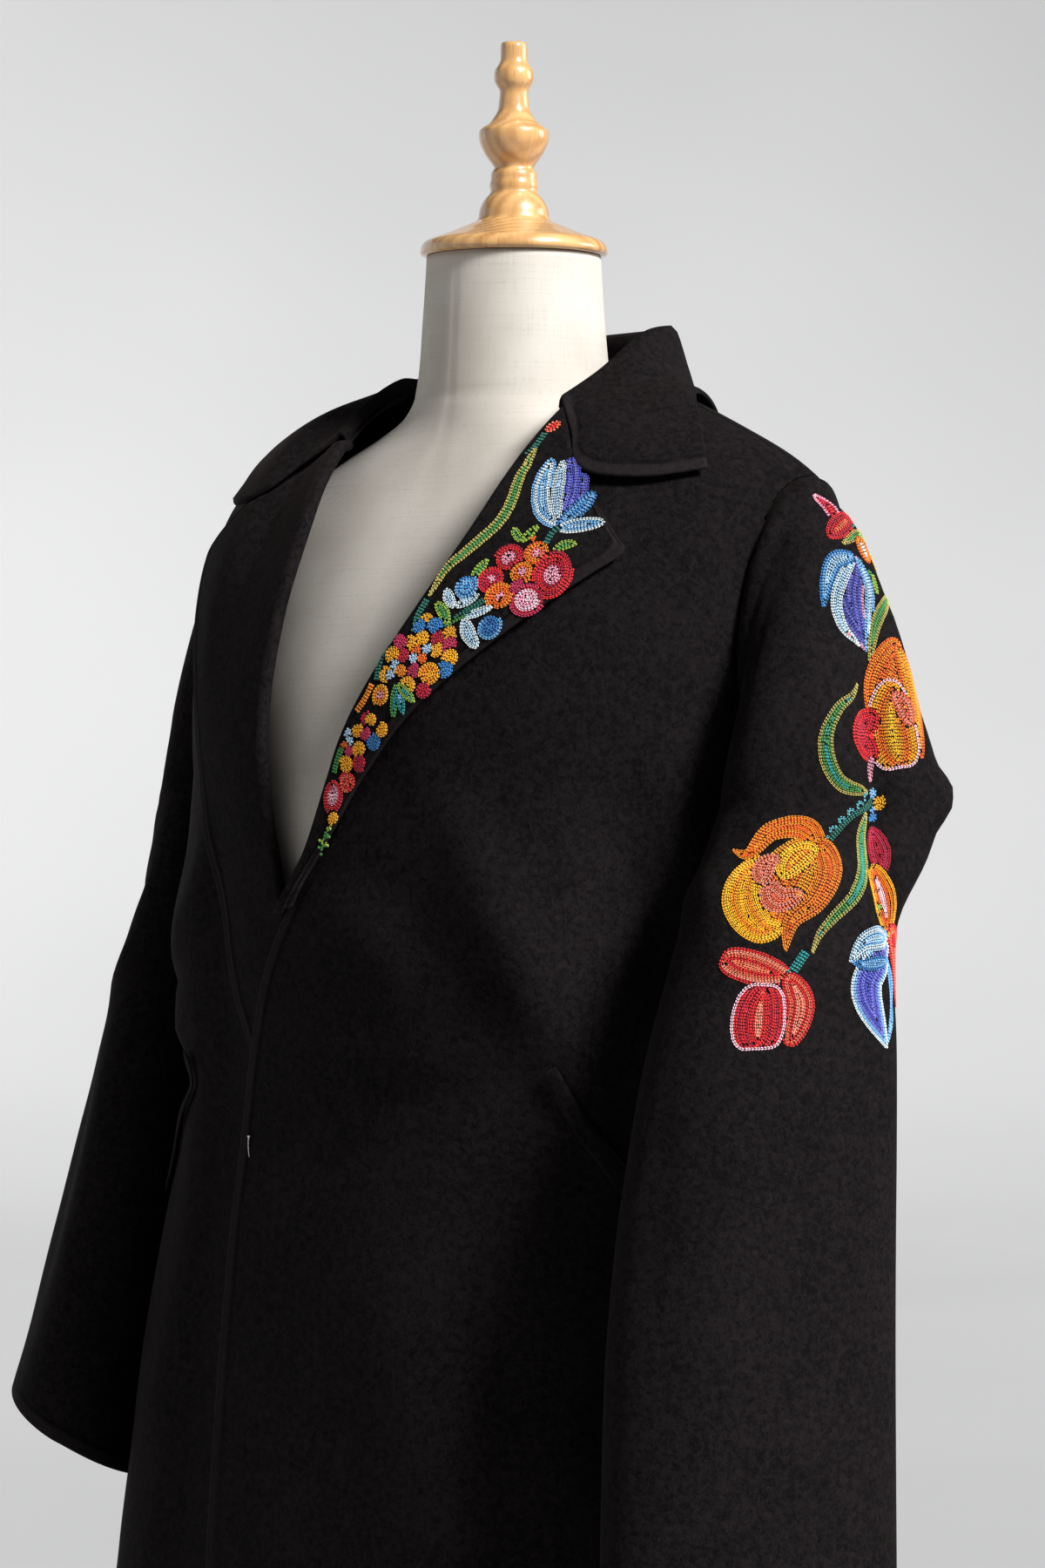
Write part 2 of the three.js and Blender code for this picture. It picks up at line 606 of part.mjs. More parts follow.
// The armhole as a loop from the shoulder tip down the front, under the arm and up the back.
function armholeLoop(side) {
  const points = [];
  const samples = 48;
  for (let i = 0; i < 2 * samples; i += 1) {
    const onFront = i < samples;
    const down = onFront ? i / samples : 2 - i / samples;
    const climb = SHOULDER_CLIMB * (1 - down);
    const angle = armholeAngle(climb, onFront ? "front" : "back");
    points.push({ angle: side * (onFront ? angle : Math.PI - angle), level: UNDERARM + climb });
  }
  const curve = new THREE.CatmullRomCurve3(points.map((place) => onBody(place)), true);
  return curve.getSpacedPoints(SLEEVE_COLUMNS).slice(0, SLEEVE_COLUMNS);
}

function sleeveRing(table, side, height) {
  const value = (column) => read([...table].reverse(), "height", height, column);
  const turned = rad(value("turn"));
  const long = new THREE.Vector3(side * Math.cos(turned), Math.sin(turned), 0);
  const outward = new THREE.Vector3(side * Math.sin(turned), -Math.cos(turned), 0);
  const centre = new THREE.Vector3(side * value("x"), value("y"), height);
  const ring = [];
  for (let j = 0; j < SLEEVE_COLUMNS; j += 1) {
    const turn = (j / SLEEVE_COLUMNS) * 2 * Math.PI;
    const alongWide = -Math.sin(turn);
    const across = Math.cos(turn);
    const point = centre.clone()
      .addScaledVector(long, value("wide") * signedPower(alongWide, SLEEVE_SQUARE))
      .addScaledVector(outward, value("thick") * signedPower(across, SLEEVE_SQUARE));
    point.z += value("rise") * across;
    ring.push(point);
  }
  return ring;
}

// How far the cloth stands out behind the left upper arm.
function flapReach(point, centre) {
  const long = new THREE.Vector3(Math.cos(rad(FLAP_WAY)), Math.sin(rad(FLAP_WAY)), 0);
  const away = point.clone().sub(centre).setZ(0).angleTo(long);
  let reach = 0;
  for (const flap of FLAPS) {
    const up = point.z - flap.height;
    const rise = up > 0 ? Math.exp(-((up / flap.above) ** 2)) : Math.exp(-((up / flap.below) ** 4));
    reach += flap.reach * rise * Math.exp(-((away / rad(flap.spread)) ** 2));
  }
  return long.multiplyScalar(reach);
}

// A sleeve runs from the armhole over the cap to the biceps ring and down to the cuff.
function sleeve(table, side, flap) {
  const loop = armholeLoop(side);
  const hole = loop.reduce((sum, point) => sum.add(point), new THREE.Vector3()).divideScalar(loop.length);
  const biceps = sleeveRing(table, side, table[0].height);
  const cuff = table[table.length - 1].height;
  const out = new THREE.Vector3(side, 0, 0);
  const start = loop.map((point) => {
    const inwards = hole.clone().sub(point).setX(0).normalize();
    return point.clone().addScaledVector(inwards, SLEEVE_INSET).addScaledVector(out, SLEEVE_LIFT);
  });
  const rings = [];
  for (let i = 0; i < CAP_STEPS; i += 1) {
    const t = i / CAP_STEPS;
    rings.push(start.map((from, j) => {
      const to = biceps[j];
      const drop = from.z - to.z;
      const high = THREE.MathUtils.clamp(drop / CAP_DEPTH, 0, 1);
      const leave = new THREE.Vector3(side * lerp(26, flap ? 95 : 55, high), 0, -lerp(4, 70, high));
      leave.y = (to.y - from.y) * 0.8;
      const arrive = new THREE.Vector3(0, (to.y - from.y) * 0.2, -lerp(16, CAP_DEPTH, high));
      return new THREE.Vector3().addScaledVector(from, 2 * t ** 3 - 3 * t ** 2 + 1)
        .addScaledVector(leave, t ** 3 - 2 * t ** 2 + t)
        .addScaledVector(to, 3 * t ** 2 - 2 * t ** 3)
        .addScaledVector(arrive, t ** 3 - t ** 2);
    }));
  }
  const heights = ARM_HEIGHTS.filter((height) => height > cuff + 20);
  heights.push(cuff);
  heights.forEach((height) => rings.push(sleeveRing(table, side, height)));
  if (flap) {
    rings.forEach((ring) => {
      const centre = ring.reduce((sum, point) => sum.add(point), new THREE.Vector3())
        .divideScalar(ring.length);
      const fade = rampUp(0, 45, start[0].distanceTo(ring[0]));
      ring.forEach((point, j) => {
        ring[j] = point.clone().addScaledVector(flapReach(point, centre), fade);
      });
    });
  }
  rings.reverse();
  return side > 0 ? rings.map((ring) => [ring[0], ...ring.slice(1).reverse()].reverse()) : rings;
}

// ---- Pocket welts ----
function pocketWelt(side) {
  const grid = [];
  for (const part of [0, 1]) {
    const row = [];
    for (let j = 0; j <= 8; j += 1) {
      const along = (j / 8) * (POCKET.length - 1);
      const across = read(POCKET, "along", along, "across") - part * WELT.width * WELT.slant;
      const height = read(POCKET, "along", along, "height") - part * WELT.width * WELT.slant;
      row.push(onBody(frontPlace(side * across, height), (CLOTH + WELT.thickness) / 2 + CLEARANCE));
    }
    grid.push(side > 0 ? row : row.reverse());
  }
  return grid.reverse();
}

// ---- Dress form and stand ----
function formRings() {
  return FORM.map((section) => {
    const ring = [];
    const power = 2 / lerp(FULLNESS, 2, rampUp(1300, 1385, section.height));
    for (let j = 0; j < FORM_COLUMNS; j += 1) {
      const angle = (j / FORM_COLUMNS) * 2 * Math.PI;
      const depth = Math.cos(angle) > 0 ? section.front : section.back;
      ring.push(new THREE.Vector3(section.side * signedPower(Math.sin(angle), power),
        -depth * signedPower(Math.cos(angle), power), section.height));
    }
    return ring;
  });
}

function turned(profile, segments) {
  const points = profile.map(([radius, height]) => new THREE.Vector2(radius, height));
  return new THREE.LatheGeometry(points, segments).rotateX(QUARTER);
}

// ---- The part ----
const wool = { color: 0x1b1617, roughness: 0.95, metalness: 0 };
const linen = { color: 0xd6d0c8, roughness: 0.9, metalness: 0 };
const wood = { color: 0xcd9655, roughness: 0.35, metalness: 0 };

const blazerOnForm = new THREE.Group();

function add(name, geometry, finish, height = 0) {
  const mesh = new THREE.Mesh(geometry, new THREE.MeshStandardMaterial(finish));
  mesh.name = name;
  mesh.position.z = height;
  blazerOnForm.add(mesh);
}

const flat = () => 0;
add("front_left", wall(frontPanel(1, LEFT_EDGE, flat), CLOTH), wool);
add("front_right", wall(frontPanel(-1, RIGHT_EDGE, underlap), CLOTH), wool);
add("back", wall(backPanel(), CLOTH), wool);
add("lapel_left", wall(lapel(LEFT_EDGE, LEFT_LAPEL, 1, flat), CLOTH), wool);
add("lapel_right", wall(lapel(RIGHT_EDGE, RIGHT_LAPEL, -1, underlap), CLOTH), wool);
add("collar", wall(collarGrid(), COLLAR_CLOTH), wool);
add("sleeve_left", wall(sleeve(LEFT_SLEEVE, 1, true), CLOTH, true), wool);
add("sleeve_right", wall(sleeve(RIGHT_SLEEVE, -1, false), CLOTH, true), wool);
add("pocket_welt_left", wall(pocketWelt(1), WELT.thickness), wool);
add("pocket_welt_right", wall(pocketWelt(-1), WELT.thickness), wool);

add("form_body", loft(formRings()), linen);
add("neck_cap", turned(CAP, 24), wood, CAP_HEIGHT);
const poleHeight = FORM[0].height - BASE_TOP - 2 * SEAM_GAP;
const pole = new THREE.CylinderGeometry(POLE_RADIUS, POLE_RADIUS, poleHeight, 24).rotateX(QUARTER);
add("stand_pole", pole, wood, BASE_TOP + SEAM_GAP + poleHeight / 2);
add("stand_base", turned(BASE, 36), wood);

export default blazerOnForm;
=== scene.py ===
import math

import bpy
import numpy as np
from mathutils import Matrix


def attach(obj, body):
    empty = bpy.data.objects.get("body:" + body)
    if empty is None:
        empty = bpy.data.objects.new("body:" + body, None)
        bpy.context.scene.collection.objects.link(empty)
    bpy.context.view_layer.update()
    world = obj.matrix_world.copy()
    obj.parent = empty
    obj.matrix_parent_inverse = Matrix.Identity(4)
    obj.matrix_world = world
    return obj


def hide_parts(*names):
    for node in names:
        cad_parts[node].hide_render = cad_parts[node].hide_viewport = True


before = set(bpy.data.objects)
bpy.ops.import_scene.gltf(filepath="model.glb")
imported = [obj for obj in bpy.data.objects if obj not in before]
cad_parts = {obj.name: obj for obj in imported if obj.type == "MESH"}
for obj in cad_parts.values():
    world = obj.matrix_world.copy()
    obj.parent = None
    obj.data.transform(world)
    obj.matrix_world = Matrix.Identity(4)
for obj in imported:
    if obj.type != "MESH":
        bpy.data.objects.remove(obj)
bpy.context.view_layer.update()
MM = 0.001

# ---- Driving sizes, millimetres, in the frame's axes: the wearer faces -Y and their left is +X ----
CLOTH = 2.4
COLLAR_CLOTH = 3.0
WELT_CLOTH = 1.6
WELT_WIDTH = 9
HEM = 535.0
UNDERARM = 1165.0
RIDGE_Y = 5.0
SHOULDER_CLIMB = 200.0
YOKE_SPREAD = 18.0
NECK_HALF_WIDTH = 90.0
NECK_BACK_DEPTH = 83.0
ROLL_RADIUS = 3.4
CLEARANCE = 2.2
OVERLAP_SINK = 10.5
SEAM_GAP = 0.3
BODY_REACH = 200.0
ARM_REACH = 66.0
# Angles, radians.
QUARTER = np.pi / 2
FLAP_TURN = math.radians(40)
SIDE_SEAM_HALF_GAP = 0.0012
# Exponents: how square the body's section is, and the extra fall beside the neck.
FULLNESS = 2.3
NECK_FALL = 0.5
# Counts: points round the lapel's roll, and the collar's last row.
ROLL_STEPS = 13
COLLAR_LAST_TURN = 5


def table(names, *rows):
    """Named columns of a short table."""
    return dict(zip(names.split(), np.array(rows, float).T))


BODY = table(
    "height left right front back",
    (535, 242, 268, 196, 172),
    (680, 236, 258, 188, 160),
    (800, 228, 244, 180, 150),
    (885, 218, 231, 174, 134),
    (972, 206, 212, 168, 116),
    (1060, 210, 213, 175, 126),
    (1120, 212, 209, 171, 131),
    (1165, 212, 207, 166, 132),
)
SHOULDER_LINE = table(
    "out height",
    (0, 1462), (40, 1445), (85, 1403), (120, 1390), (166, 1369), (198, 1353), (225, 1336), (240, 1325),
)
ARMHOLE = table(
    "climb front back",
    (0, 90, 90), (8, 81, 82), (22, 75.5, 76), (48, 72, 72), (95, 70, 70), (145, 70.5, 70.5), (175, 72, 72),
    (200, 74, 74),
)
LEFT_EDGE = table(
    "height across",
    (535, -92), (720, -92), (850, -88), (962, -79), (1000, -70), (1040, -56), (1075, -38), (1100, -23),
    (1125, -9), (1187, 14), (1262, 61), (1300, 80), (1335, 90), (1372, 95), (1402, 90),
)
RIGHT_EDGE = table(
    "height across",
    (535, 72), (900, 62), (985, 28), (1035, -20), (1073, -41), (1118, -54), (1185, -63), (1262, -64),
    (1314, -66), (1360, -83), (1402, -90),
)
LEFT_LAPEL = table(
    "roll across height",
    (1084, -22, 1087), (1100, -10, 1107), (1125, 8, 1134), (1165, 30, 1168), (1210, 65, 1206),
    (1262, 118, 1251), (1300, 150, 1278), (1322, 162, 1290), (1340, 156, 1300), (1372, 129, 1332),
)
RIGHT_LAPEL = table(
    "roll across height",
    (985, -66, 975), (1010, -82, 1005), (1040, -94, 1035), (1076, -104, 1076), (1120, -116, 1120),
    (1165, -125, 1160), (1225, -142, 1218), (1280, -160, 1262), (1312, -170, 1293), (1330, -164, 1305),
    (1360, -124, 1327),
)
COLLAR = table(
    "turn footX footY foldX foldY foldZ drop restX restY edgeX edgeY",
    (0, 0, 86, 0, 94, 1434, 0, 0, 101, 0, 109),
    (1, 48, 74, 50, 84, 1434, 5, 57, 91, 66, 99),
    (2, 78, 46, 85, 50, 1432, 12, 97, 54, 107, 61),
    (3, 87, 10, 94, 12, 1425, 20, 114, 10, 132, 8),
    (4, 88, -26, 97, -30, 1402, 16, 124, -46, 168, -30),
)
COLLAR_ENDS = {
    1: dict(foldX=92, foldZ=1375, notchX=126, notchZ=1337, pointX=185, pointZ=1337),
    -1: dict(foldX=-87, foldZ=1363, notchX=-122, notchZ=1331, pointX=-164, pointZ=1332),
}
RIGHT_FALL = 0.94
LEFT_SLEEVE = table(
    "height x y wide thick turn rise",
    (700, 267, -114, 86, 42, 60, 6), (828, 266, -111, 84, 43, 60, 0), (898, 265, -105, 81, 44, 60, 0),
    (954, 264, -97, 77, 45, 60, 0), (1005, 263, -88, 72, 45, 60, 0), (1082, 259, -66, 61, 42, 62, 0),
    (1146, 255, -35, 57, 36, 66, 0),
)
RIGHT_SLEEVE = table(
    "height x y wide thick turn rise",
    (750, 302, -60, 84, 45, 60, 28), (800, 295, -54, 80, 41, 60, 22), (900, 279, -38, 74, 38, 64, 16),
    (1000, 264, -20, 68, 36, 72, 10), (1080, 252, -4, 62, 31, 82, 4), (1146, 243, 8, 58, 26, 86, 0),
)
FLAP = table(
    "height above below reach spread",
    (1158, 85, 62, 17, 30), (1290, 60, 70, 9.5, 55), (1157, 9, 20, 8, 16),
)
FOLDS = table(
    "angle height to_angle to_height rise spread",
    (24, 1120, 52, 960, 7, 26), (52, 1150, 66, 990, -10, 26), (8, 900, 30, 560, 7, 34),
    (50, 860, 58, 540, -8, 30), (-50, 1110, -40, 960, 6, 28), (-62, 1010, -36, 970, -5, 18),
    (-44, 880, -52, 540, 8, 34), (118, 1110, 140, 930, 6, 26), (148, 900, 138, 540, 8, 34),
    (180, 960, 180, 540, -7, 28), (-146, 900, -136, 540, 8, 34), (-118, 1100, -142, 920, 6, 26),
)
POCKET = table("along across height", (0, 141, 1000), (1, 153, 971), (2, 169, 944), (3, 187, 914))


# ---- Small maths on arrays ----
def ramp(low, high, value):
    """Smooth step from 0 at low to 1 at high."""
    t = np.clip((value - low) / (high - low), 0, 1)
    return t * t * (3 - 2 * t)


def signed_power(value, power):
    """The power of a number's size, with its sign kept."""
    return np.sign(value) * np.abs(value) ** power


def mix(a, b, t):
    """a at t = 0 and b at t = 1."""
    return a + (b - a) * t


def unit(v):
    """Vectors at length 1."""
    return v / np.maximum(np.linalg.norm(v, axis=-1, keepdims=True), 1e-9)


def bell(value, centre, width):
    """Bell curve of height 1."""
    return np.exp(-(((value - centre) / width) ** 2))


def hermite(t, first, leave, last, arrive):
    """Cubic from first to last, with the slopes that it leaves and arrives with."""
    return (
        (2 * t**3 - 3 * t**2 + 1) * first
        + (t**3 - 2 * t**2 + t) * leave
        + (3 * t**2 - 2 * t**3) * last
        + (t**3 - t**2) * arrive
    )


def lengths_along(points, axis=0):
    """Length from the first point to each point, along one axis of an array of points."""
    steps = np.linalg.norm(np.diff(points, axis=axis), axis=-1)
    first = list(steps.shape)
    first[axis] = 1
    return np.concatenate([np.zeros(first), np.cumsum(steps, axis)], axis)


def read(rows, key, place, column):
    """A column between its rows: cubic pieces whose end slopes are those between the neighbouring rows."""
    x, y = rows[key], rows[column]
    place = np.clip(place, x[0], x[-1])
    i = np.clip(np.searchsorted(x, place, side="right") - 1, 0, len(x) - 2)
    low, high = np.maximum(i - 1, 0), np.minimum(i + 2, len(x) - 1)
    step = x[i + 1] - x[i]
    t = (place - x[i]) / step
    start = (y[i + 1] - y[low]) / (x[i + 1] - x[low]) * step
    end = (y[high] - y[i]) / (x[high] - x[i]) * step
    return hermite(t, y[i], start, y[i + 1], end)


def shoulder_height(x):
    """Height of the shoulder line at a distance out."""
    return read(SHOULDER_LINE, "out", np.abs(x), "height")


# ---- The body's middle surface: an angle round the body, and a level ----
def climb_angle(level):
    """How far a level has climbed from the underarm to the shoulder line, as an angle up to a right one."""
    return np.maximum(0, level - UNDERARM) / SHOULDER_CLIMB * QUARTER


def half_width(side, level):
    """Half width of the body on the side whose sign is given."""
    low = np.minimum(level, UNDERARM)
    half = np.where(side > 0, read(BODY, "height", low, "left"), read(BODY, "height", low, "right"))
    return half + YOKE_SPREAD * np.sin(climb_angle(level))


def fall_back(x):
    """Exponent of the climb's depth: 1, and more beside the neck on the wearer's right."""
    return 1 + NECK_FALL * ramp(0, 50, -x) * (1 - ramp(95, 130, -x))


def body_point(angle, level):
    """A rounded section below the underarm; above it the section closes over the shoulders like a dome."""
    sine, cosine = np.sin(angle), np.cos(angle)
    climb, low = climb_angle(level), np.minimum(level, UNDERARM)
    depth = np.where(cosine > 0, read(BODY, "height", low, "front"), read(BODY, "height", low, "back"))
    x = half_width(sine, level) * signed_power(sine, 2 / FULLNESS)
    fall = np.where(cosine > 0, fall_back(x), 1)
    y = RIDGE_Y - depth * signed_power(np.cos(climb), fall) * signed_power(cosine, 2 / FULLNESS)
    z = np.where(level <= UNDERARM, level, UNDERARM + (shoulder_height(x) - UNDERARM) * np.sin(climb))
    return np.stack([x, y, z], -1)


def body_normal(angle, level):
    """Across the two directions of the surface."""
    along = body_point(angle + 0.01, level) - body_point(angle - 0.01, level)
    up = body_point(angle, level + 2) - body_point(angle, level - 2)
    return unit(np.cross(along, up))


def ridges(rows, angle, level):
    """Sum of soft ridges and troughs: each a bell across its line that fades at both ends."""
    total = np.zeros(np.broadcast(angle, level).shape)
    for a, h, to_a, to_h, rise, spread in zip(*rows.values()):
        turned = np.arctan2(np.sin(angle - np.radians(a)), np.cos(angle - np.radians(a)))
        run = np.array([np.radians(to_a - a) * BODY_REACH, to_h - h])
        length = np.hypot(*run)
        part = (turned * BODY_REACH * run[0] + (level - h) * run[1]) / length**2
        side = (turned * BODY_REACH * run[1] - (level - h) * run[0]) / length
        ends = 1.2 if to_h < HEM + 40 else 0.7
        fade = ramp(-0.15, 0.3, part) * (1 - ramp(ends, 1.4, part))
        total += rise * fade * bell(side, 0, spread)
    return total


def on_body(angle, level, out=0.0):
    """The body's surface with its folds, moved out along its normal."""
    angle, level = np.broadcast_arrays(np.asarray(angle, float), np.asarray(level, float))
    small = creases(CREASES, np.degrees(angle), level, BODY_REACH)
    rise = np.asarray(out + ridges(FOLDS, angle, level) + small)
    return body_point(angle, level) + body_normal(angle, level) * rise[..., None]


def front_place(across, height):
    """Angle and level of the place on the front at a distance across and a height."""
    across, height = np.broadcast_arrays(np.asarray(across, float), np.asarray(height, float))
    over = np.clip((height - UNDERARM) / (shoulder_height(across) - UNDERARM), 0, 1)
    level = np.where(height <= UNDERARM, height, UNDERARM + np.arcsin(over) / QUARTER * SHOULDER_CLIMB)
    part = np.minimum(1, np.abs(across) / half_width(across, level))
    return np.sign(across) * np.arcsin(part ** (FULLNESS / 2)), level


def plan_place(x, y):
    """Angle and level of the place on the shoulders at a point of the plan, in a few passes."""
    x, y = np.broadcast_arrays(np.asarray(x, float), np.asarray(y, float))
    depth = np.where(y <= RIDGE_Y, BODY["front"][-1], BODY["back"][-1])
    level = np.full(x.shape, UNDERARM + SHOULDER_CLIMB / 2)
    for _ in range(6):
        around = np.arcsin(np.minimum(1, np.abs(x) / half_width(x, level)) ** (FULLNESS / 2))
        reach = depth * np.cos(around) ** (2 / FULLNESS)
        fall = np.where(y <= RIDGE_Y, fall_back(x), 1)
        climb = np.arccos(np.minimum(1, np.abs(y - RIDGE_Y) / reach) ** (1 / fall))
        level = UNDERARM + climb / QUARTER * SHOULDER_CLIMB
    side = np.where(x < 0, -1, 1)
    return side * np.where(y <= RIDGE_Y, around, np.pi - around), level


def edge_place(edge, level):
    """Where a front's inner edge crosses each level."""
    height = np.array(level, float)
    for _ in range(8):
        across = read(edge, "height", height, "across")
        up = UNDERARM + (shoulder_height(across) - UNDERARM) * np.sin(climb_angle(level))
        height = np.where(level > UNDERARM, up, height)
    return front_place(across, height)


def underlap(angle, level):
    """How deep the right front sinks under the left one."""
    reach = np.radians(-25)
    return -OVERLAP_SINK * ramp(reach - 0.22, reach, angle) * (1 - ramp(1075, 1175, level))


def no_sink(angle, level):
    """The left front lies on top and doesn't sink."""
    return np.zeros(np.broadcast(angle, level).shape)


# ---- Stations across a piece: close together at its edges, where the cloth rounds over ----
EDGE_STEPS = np.array([0, 0.25, 0.7, 1.3, 2.2, 4.0, 5.6, 6.6, 7.4, 9.0, 12.0])


def stations(length, step, first=True, last=True):
    """Parts from 0 to 1 of a length, with the edge's close steps at the ends that are asked for."""
    inner = np.linspace(0, length, max(int(length / step), 2) + 1)
    low = EDGE_STEPS[-1] + step / 2 if first else -1
    high = length - EDGE_STEPS[-1] - step / 2 if last else length + 1
    parts = [inner[(inner > low) & (inner < high)]]
    if first:
        parts.insert(0, EDGE_STEPS)
    if last:
        parts.append(length - EDGE_STEPS[::-1])
    return np.concatenate(parts) / length


# ---- Middle surfaces of the pieces, as grids of points: rows run up, columns anticlockwise from above ----
def body_levels(step, gap=0.0):
    """Levels from the hem to the shoulder line; those above the underarm are a gap lower."""
    below = HEM + (UNDERARM - HEM) * stations(UNDERARM - HEM, step, True, False)
    above = UNDERARM + SHOULDER_CLIMB * stations(SHOULDER_CLIMB, step * 0.8, False, True)
    return np.concatenate([below, above[1:] - gap])


def side_seam(levels, column):
    """Angle of the side seam and armhole's edge on the front or back, from the middle of that panel."""
    return (np.radians(read(ARMHOLE, "climb", levels - UNDERARM, column)) - SIDE_SEAM_HALF_GAP)[:, None]


def front_grid(side, edge, sink, step):
    """From the inner edge to the side seam or armhole, level by level."""
    levels = body_levels(step, SEAM_GAP)
    part = stations(240, step)
    inner = edge_place(edge, levels)[0][:, None]
    outer = side * side_seam(levels, "front")
    angle = mix(inner, outer, part[None, :])
    level = np.broadcast_to(levels[:, None], angle.shape)
    grid = on_body(angle, level, sink(angle, level))
    return grid if side > 0 else grid[:, ::-1]


def back_grid(step):
    """From side seam to side seam, up to shoulder seams and neckline, with allowances under the fronts."""
    levels = body_levels(step)
    angle = np.pi + side_seam(levels, "back") * mix(-1, 1, stations(520, step))[None, :]
    allowance = np.array([0.006, 0.016])
    angle = np.concatenate([angle[:, :1] - allowance[::-1], angle, angle[:, -1:] + allowance], 1)
    under = np.zeros(angle.shape)
    under[:, [0, -1]], under[:, [1, -2]] = -2.7, -2.1
    level = np.broadcast_to(levels[:, None], angle.shape)
    x = body_point(angle, level)[..., 0]
    within = np.sqrt(np.clip(1 - (x / NECK_HALF_WIDTH) ** 2, 0, 1))
    highest = plan_place(x, np.maximum(RIDGE_Y + NECK_BACK_DEPTH * within, RIDGE_Y + SEAM_GAP))[1]
    squeezed = UNDERARM + (level - UNDERARM) / SHOULDER_CLIMB * (highest - UNDERARM)
    lower = np.where(level > UNDERARM, squeezed, level)
    return on_body(angle, np.minimum(lower, UNDERARM + SHOULDER_CLIMB - SEAM_GAP), under)


def roll_line(edge, outline, index, sink):
    """A lapel's rows at the roll line: both ends of each, its sink, foot, normal and way off the front."""
    rows = dict(outline, index=np.arange(len(outline["roll"]) * 1.0))
    roll, out_x, out_z = (read(rows, "index", index, name) for name in ("roll", "across", "height"))
    across = read(edge, "height", roll, "across")
    start = front_place(across, roll)
    under = sink(*start)
    foot, normal = on_body(*start, under), body_normal(*start)
    near = on_body(*front_place(mix(across, out_x, 0.1), mix(roll, out_z, 0.1)), under)
    away = unit(foot - near)
    away = unit(away - normal * (away * normal).sum(-1, keepdims=True))
    return (across, roll), (out_x, out_z), under, foot, normal, away


def lapel_grid(edge, outline, side, sink, step):
    """Each row turns round the roll line on a half circle, then lies back over the front to the edge."""
    index = (len(outline["roll"]) - 1) * stations(330, step, True, False)
    inner, outer, under, foot, normal, away = roll_line(edge, outline, index, sink)
    sunk = np.minimum(1, -under / OVERLAP_SINK)
    radius = np.where(under < -1, mix(ROLL_RADIUS, 2.5, sunk), ROLL_RADIUS)[:, None]
    centre = foot + normal * radius + away * CLEARANCE
    turn = np.linspace(-QUARTER, QUARTER, ROLL_STEPS)[None, :, None]
    spoke = away[:, None] * np.cos(turn) + normal[:, None] * np.sin(turn)
    rolled = centre[:, None] + spoke * radius[:, None]
    part = stations(95, step, False, True)[None, 1:]
    spot = front_place(*(mix(a[:, None], b[:, None], part) for a, b in zip(inner, outer)))
    lift = sink(*spot) + 2 * radius - 0.8 * part
    laid = on_body(*spot, lift)
    grid = np.concatenate([rolled, laid], 1)
    ahead = unit(grid[-1] - grid[-4])
    inward = on_body(*spot)[-1] - laid[-1]
    inward = unit(np.concatenate([np.repeat(inward[:1], ROLL_STEPS, 0), inward]))
    allowance = ((1.5, 0.8), (4, 2.2), (8, 3.4))
    grid = np.concatenate([grid, [grid[-1] + ahead * reach + inward * depth for reach, depth in allowance]])
    return grid if side > 0 else grid[:, ::-1]


def spline(points, parts):
    """Points at parts of a smooth line through control points stacked on the second-last axis."""
    count = points.shape[-2]
    gaps = np.linalg.norm(np.diff(points, axis=-2), axis=-1).reshape(-1, count - 1).mean(0)
    knots = np.concatenate([[0], np.cumsum(gaps)])
    place = parts * knots[-1]
    i = np.clip(np.searchsorted(knots, place, side="right") - 1, 0, count - 2)
    low, high = np.maximum(i - 1, 0), np.minimum(i + 2, count - 1)
    step = (knots[i + 1] - knots[i])[:, None]
    t = ((place - knots[i])[:, None]) / step
    take = lambda k: np.take(points, k, axis=-2)
    start = (take(i + 1) - take(low)) / (knots[i + 1] - knots[low])[:, None] * step
    end = (take(high) - take(i)) / (knots[high] - knots[i])[:, None] * step
    return hermite(t, take(i), start, take(i + 1), end)


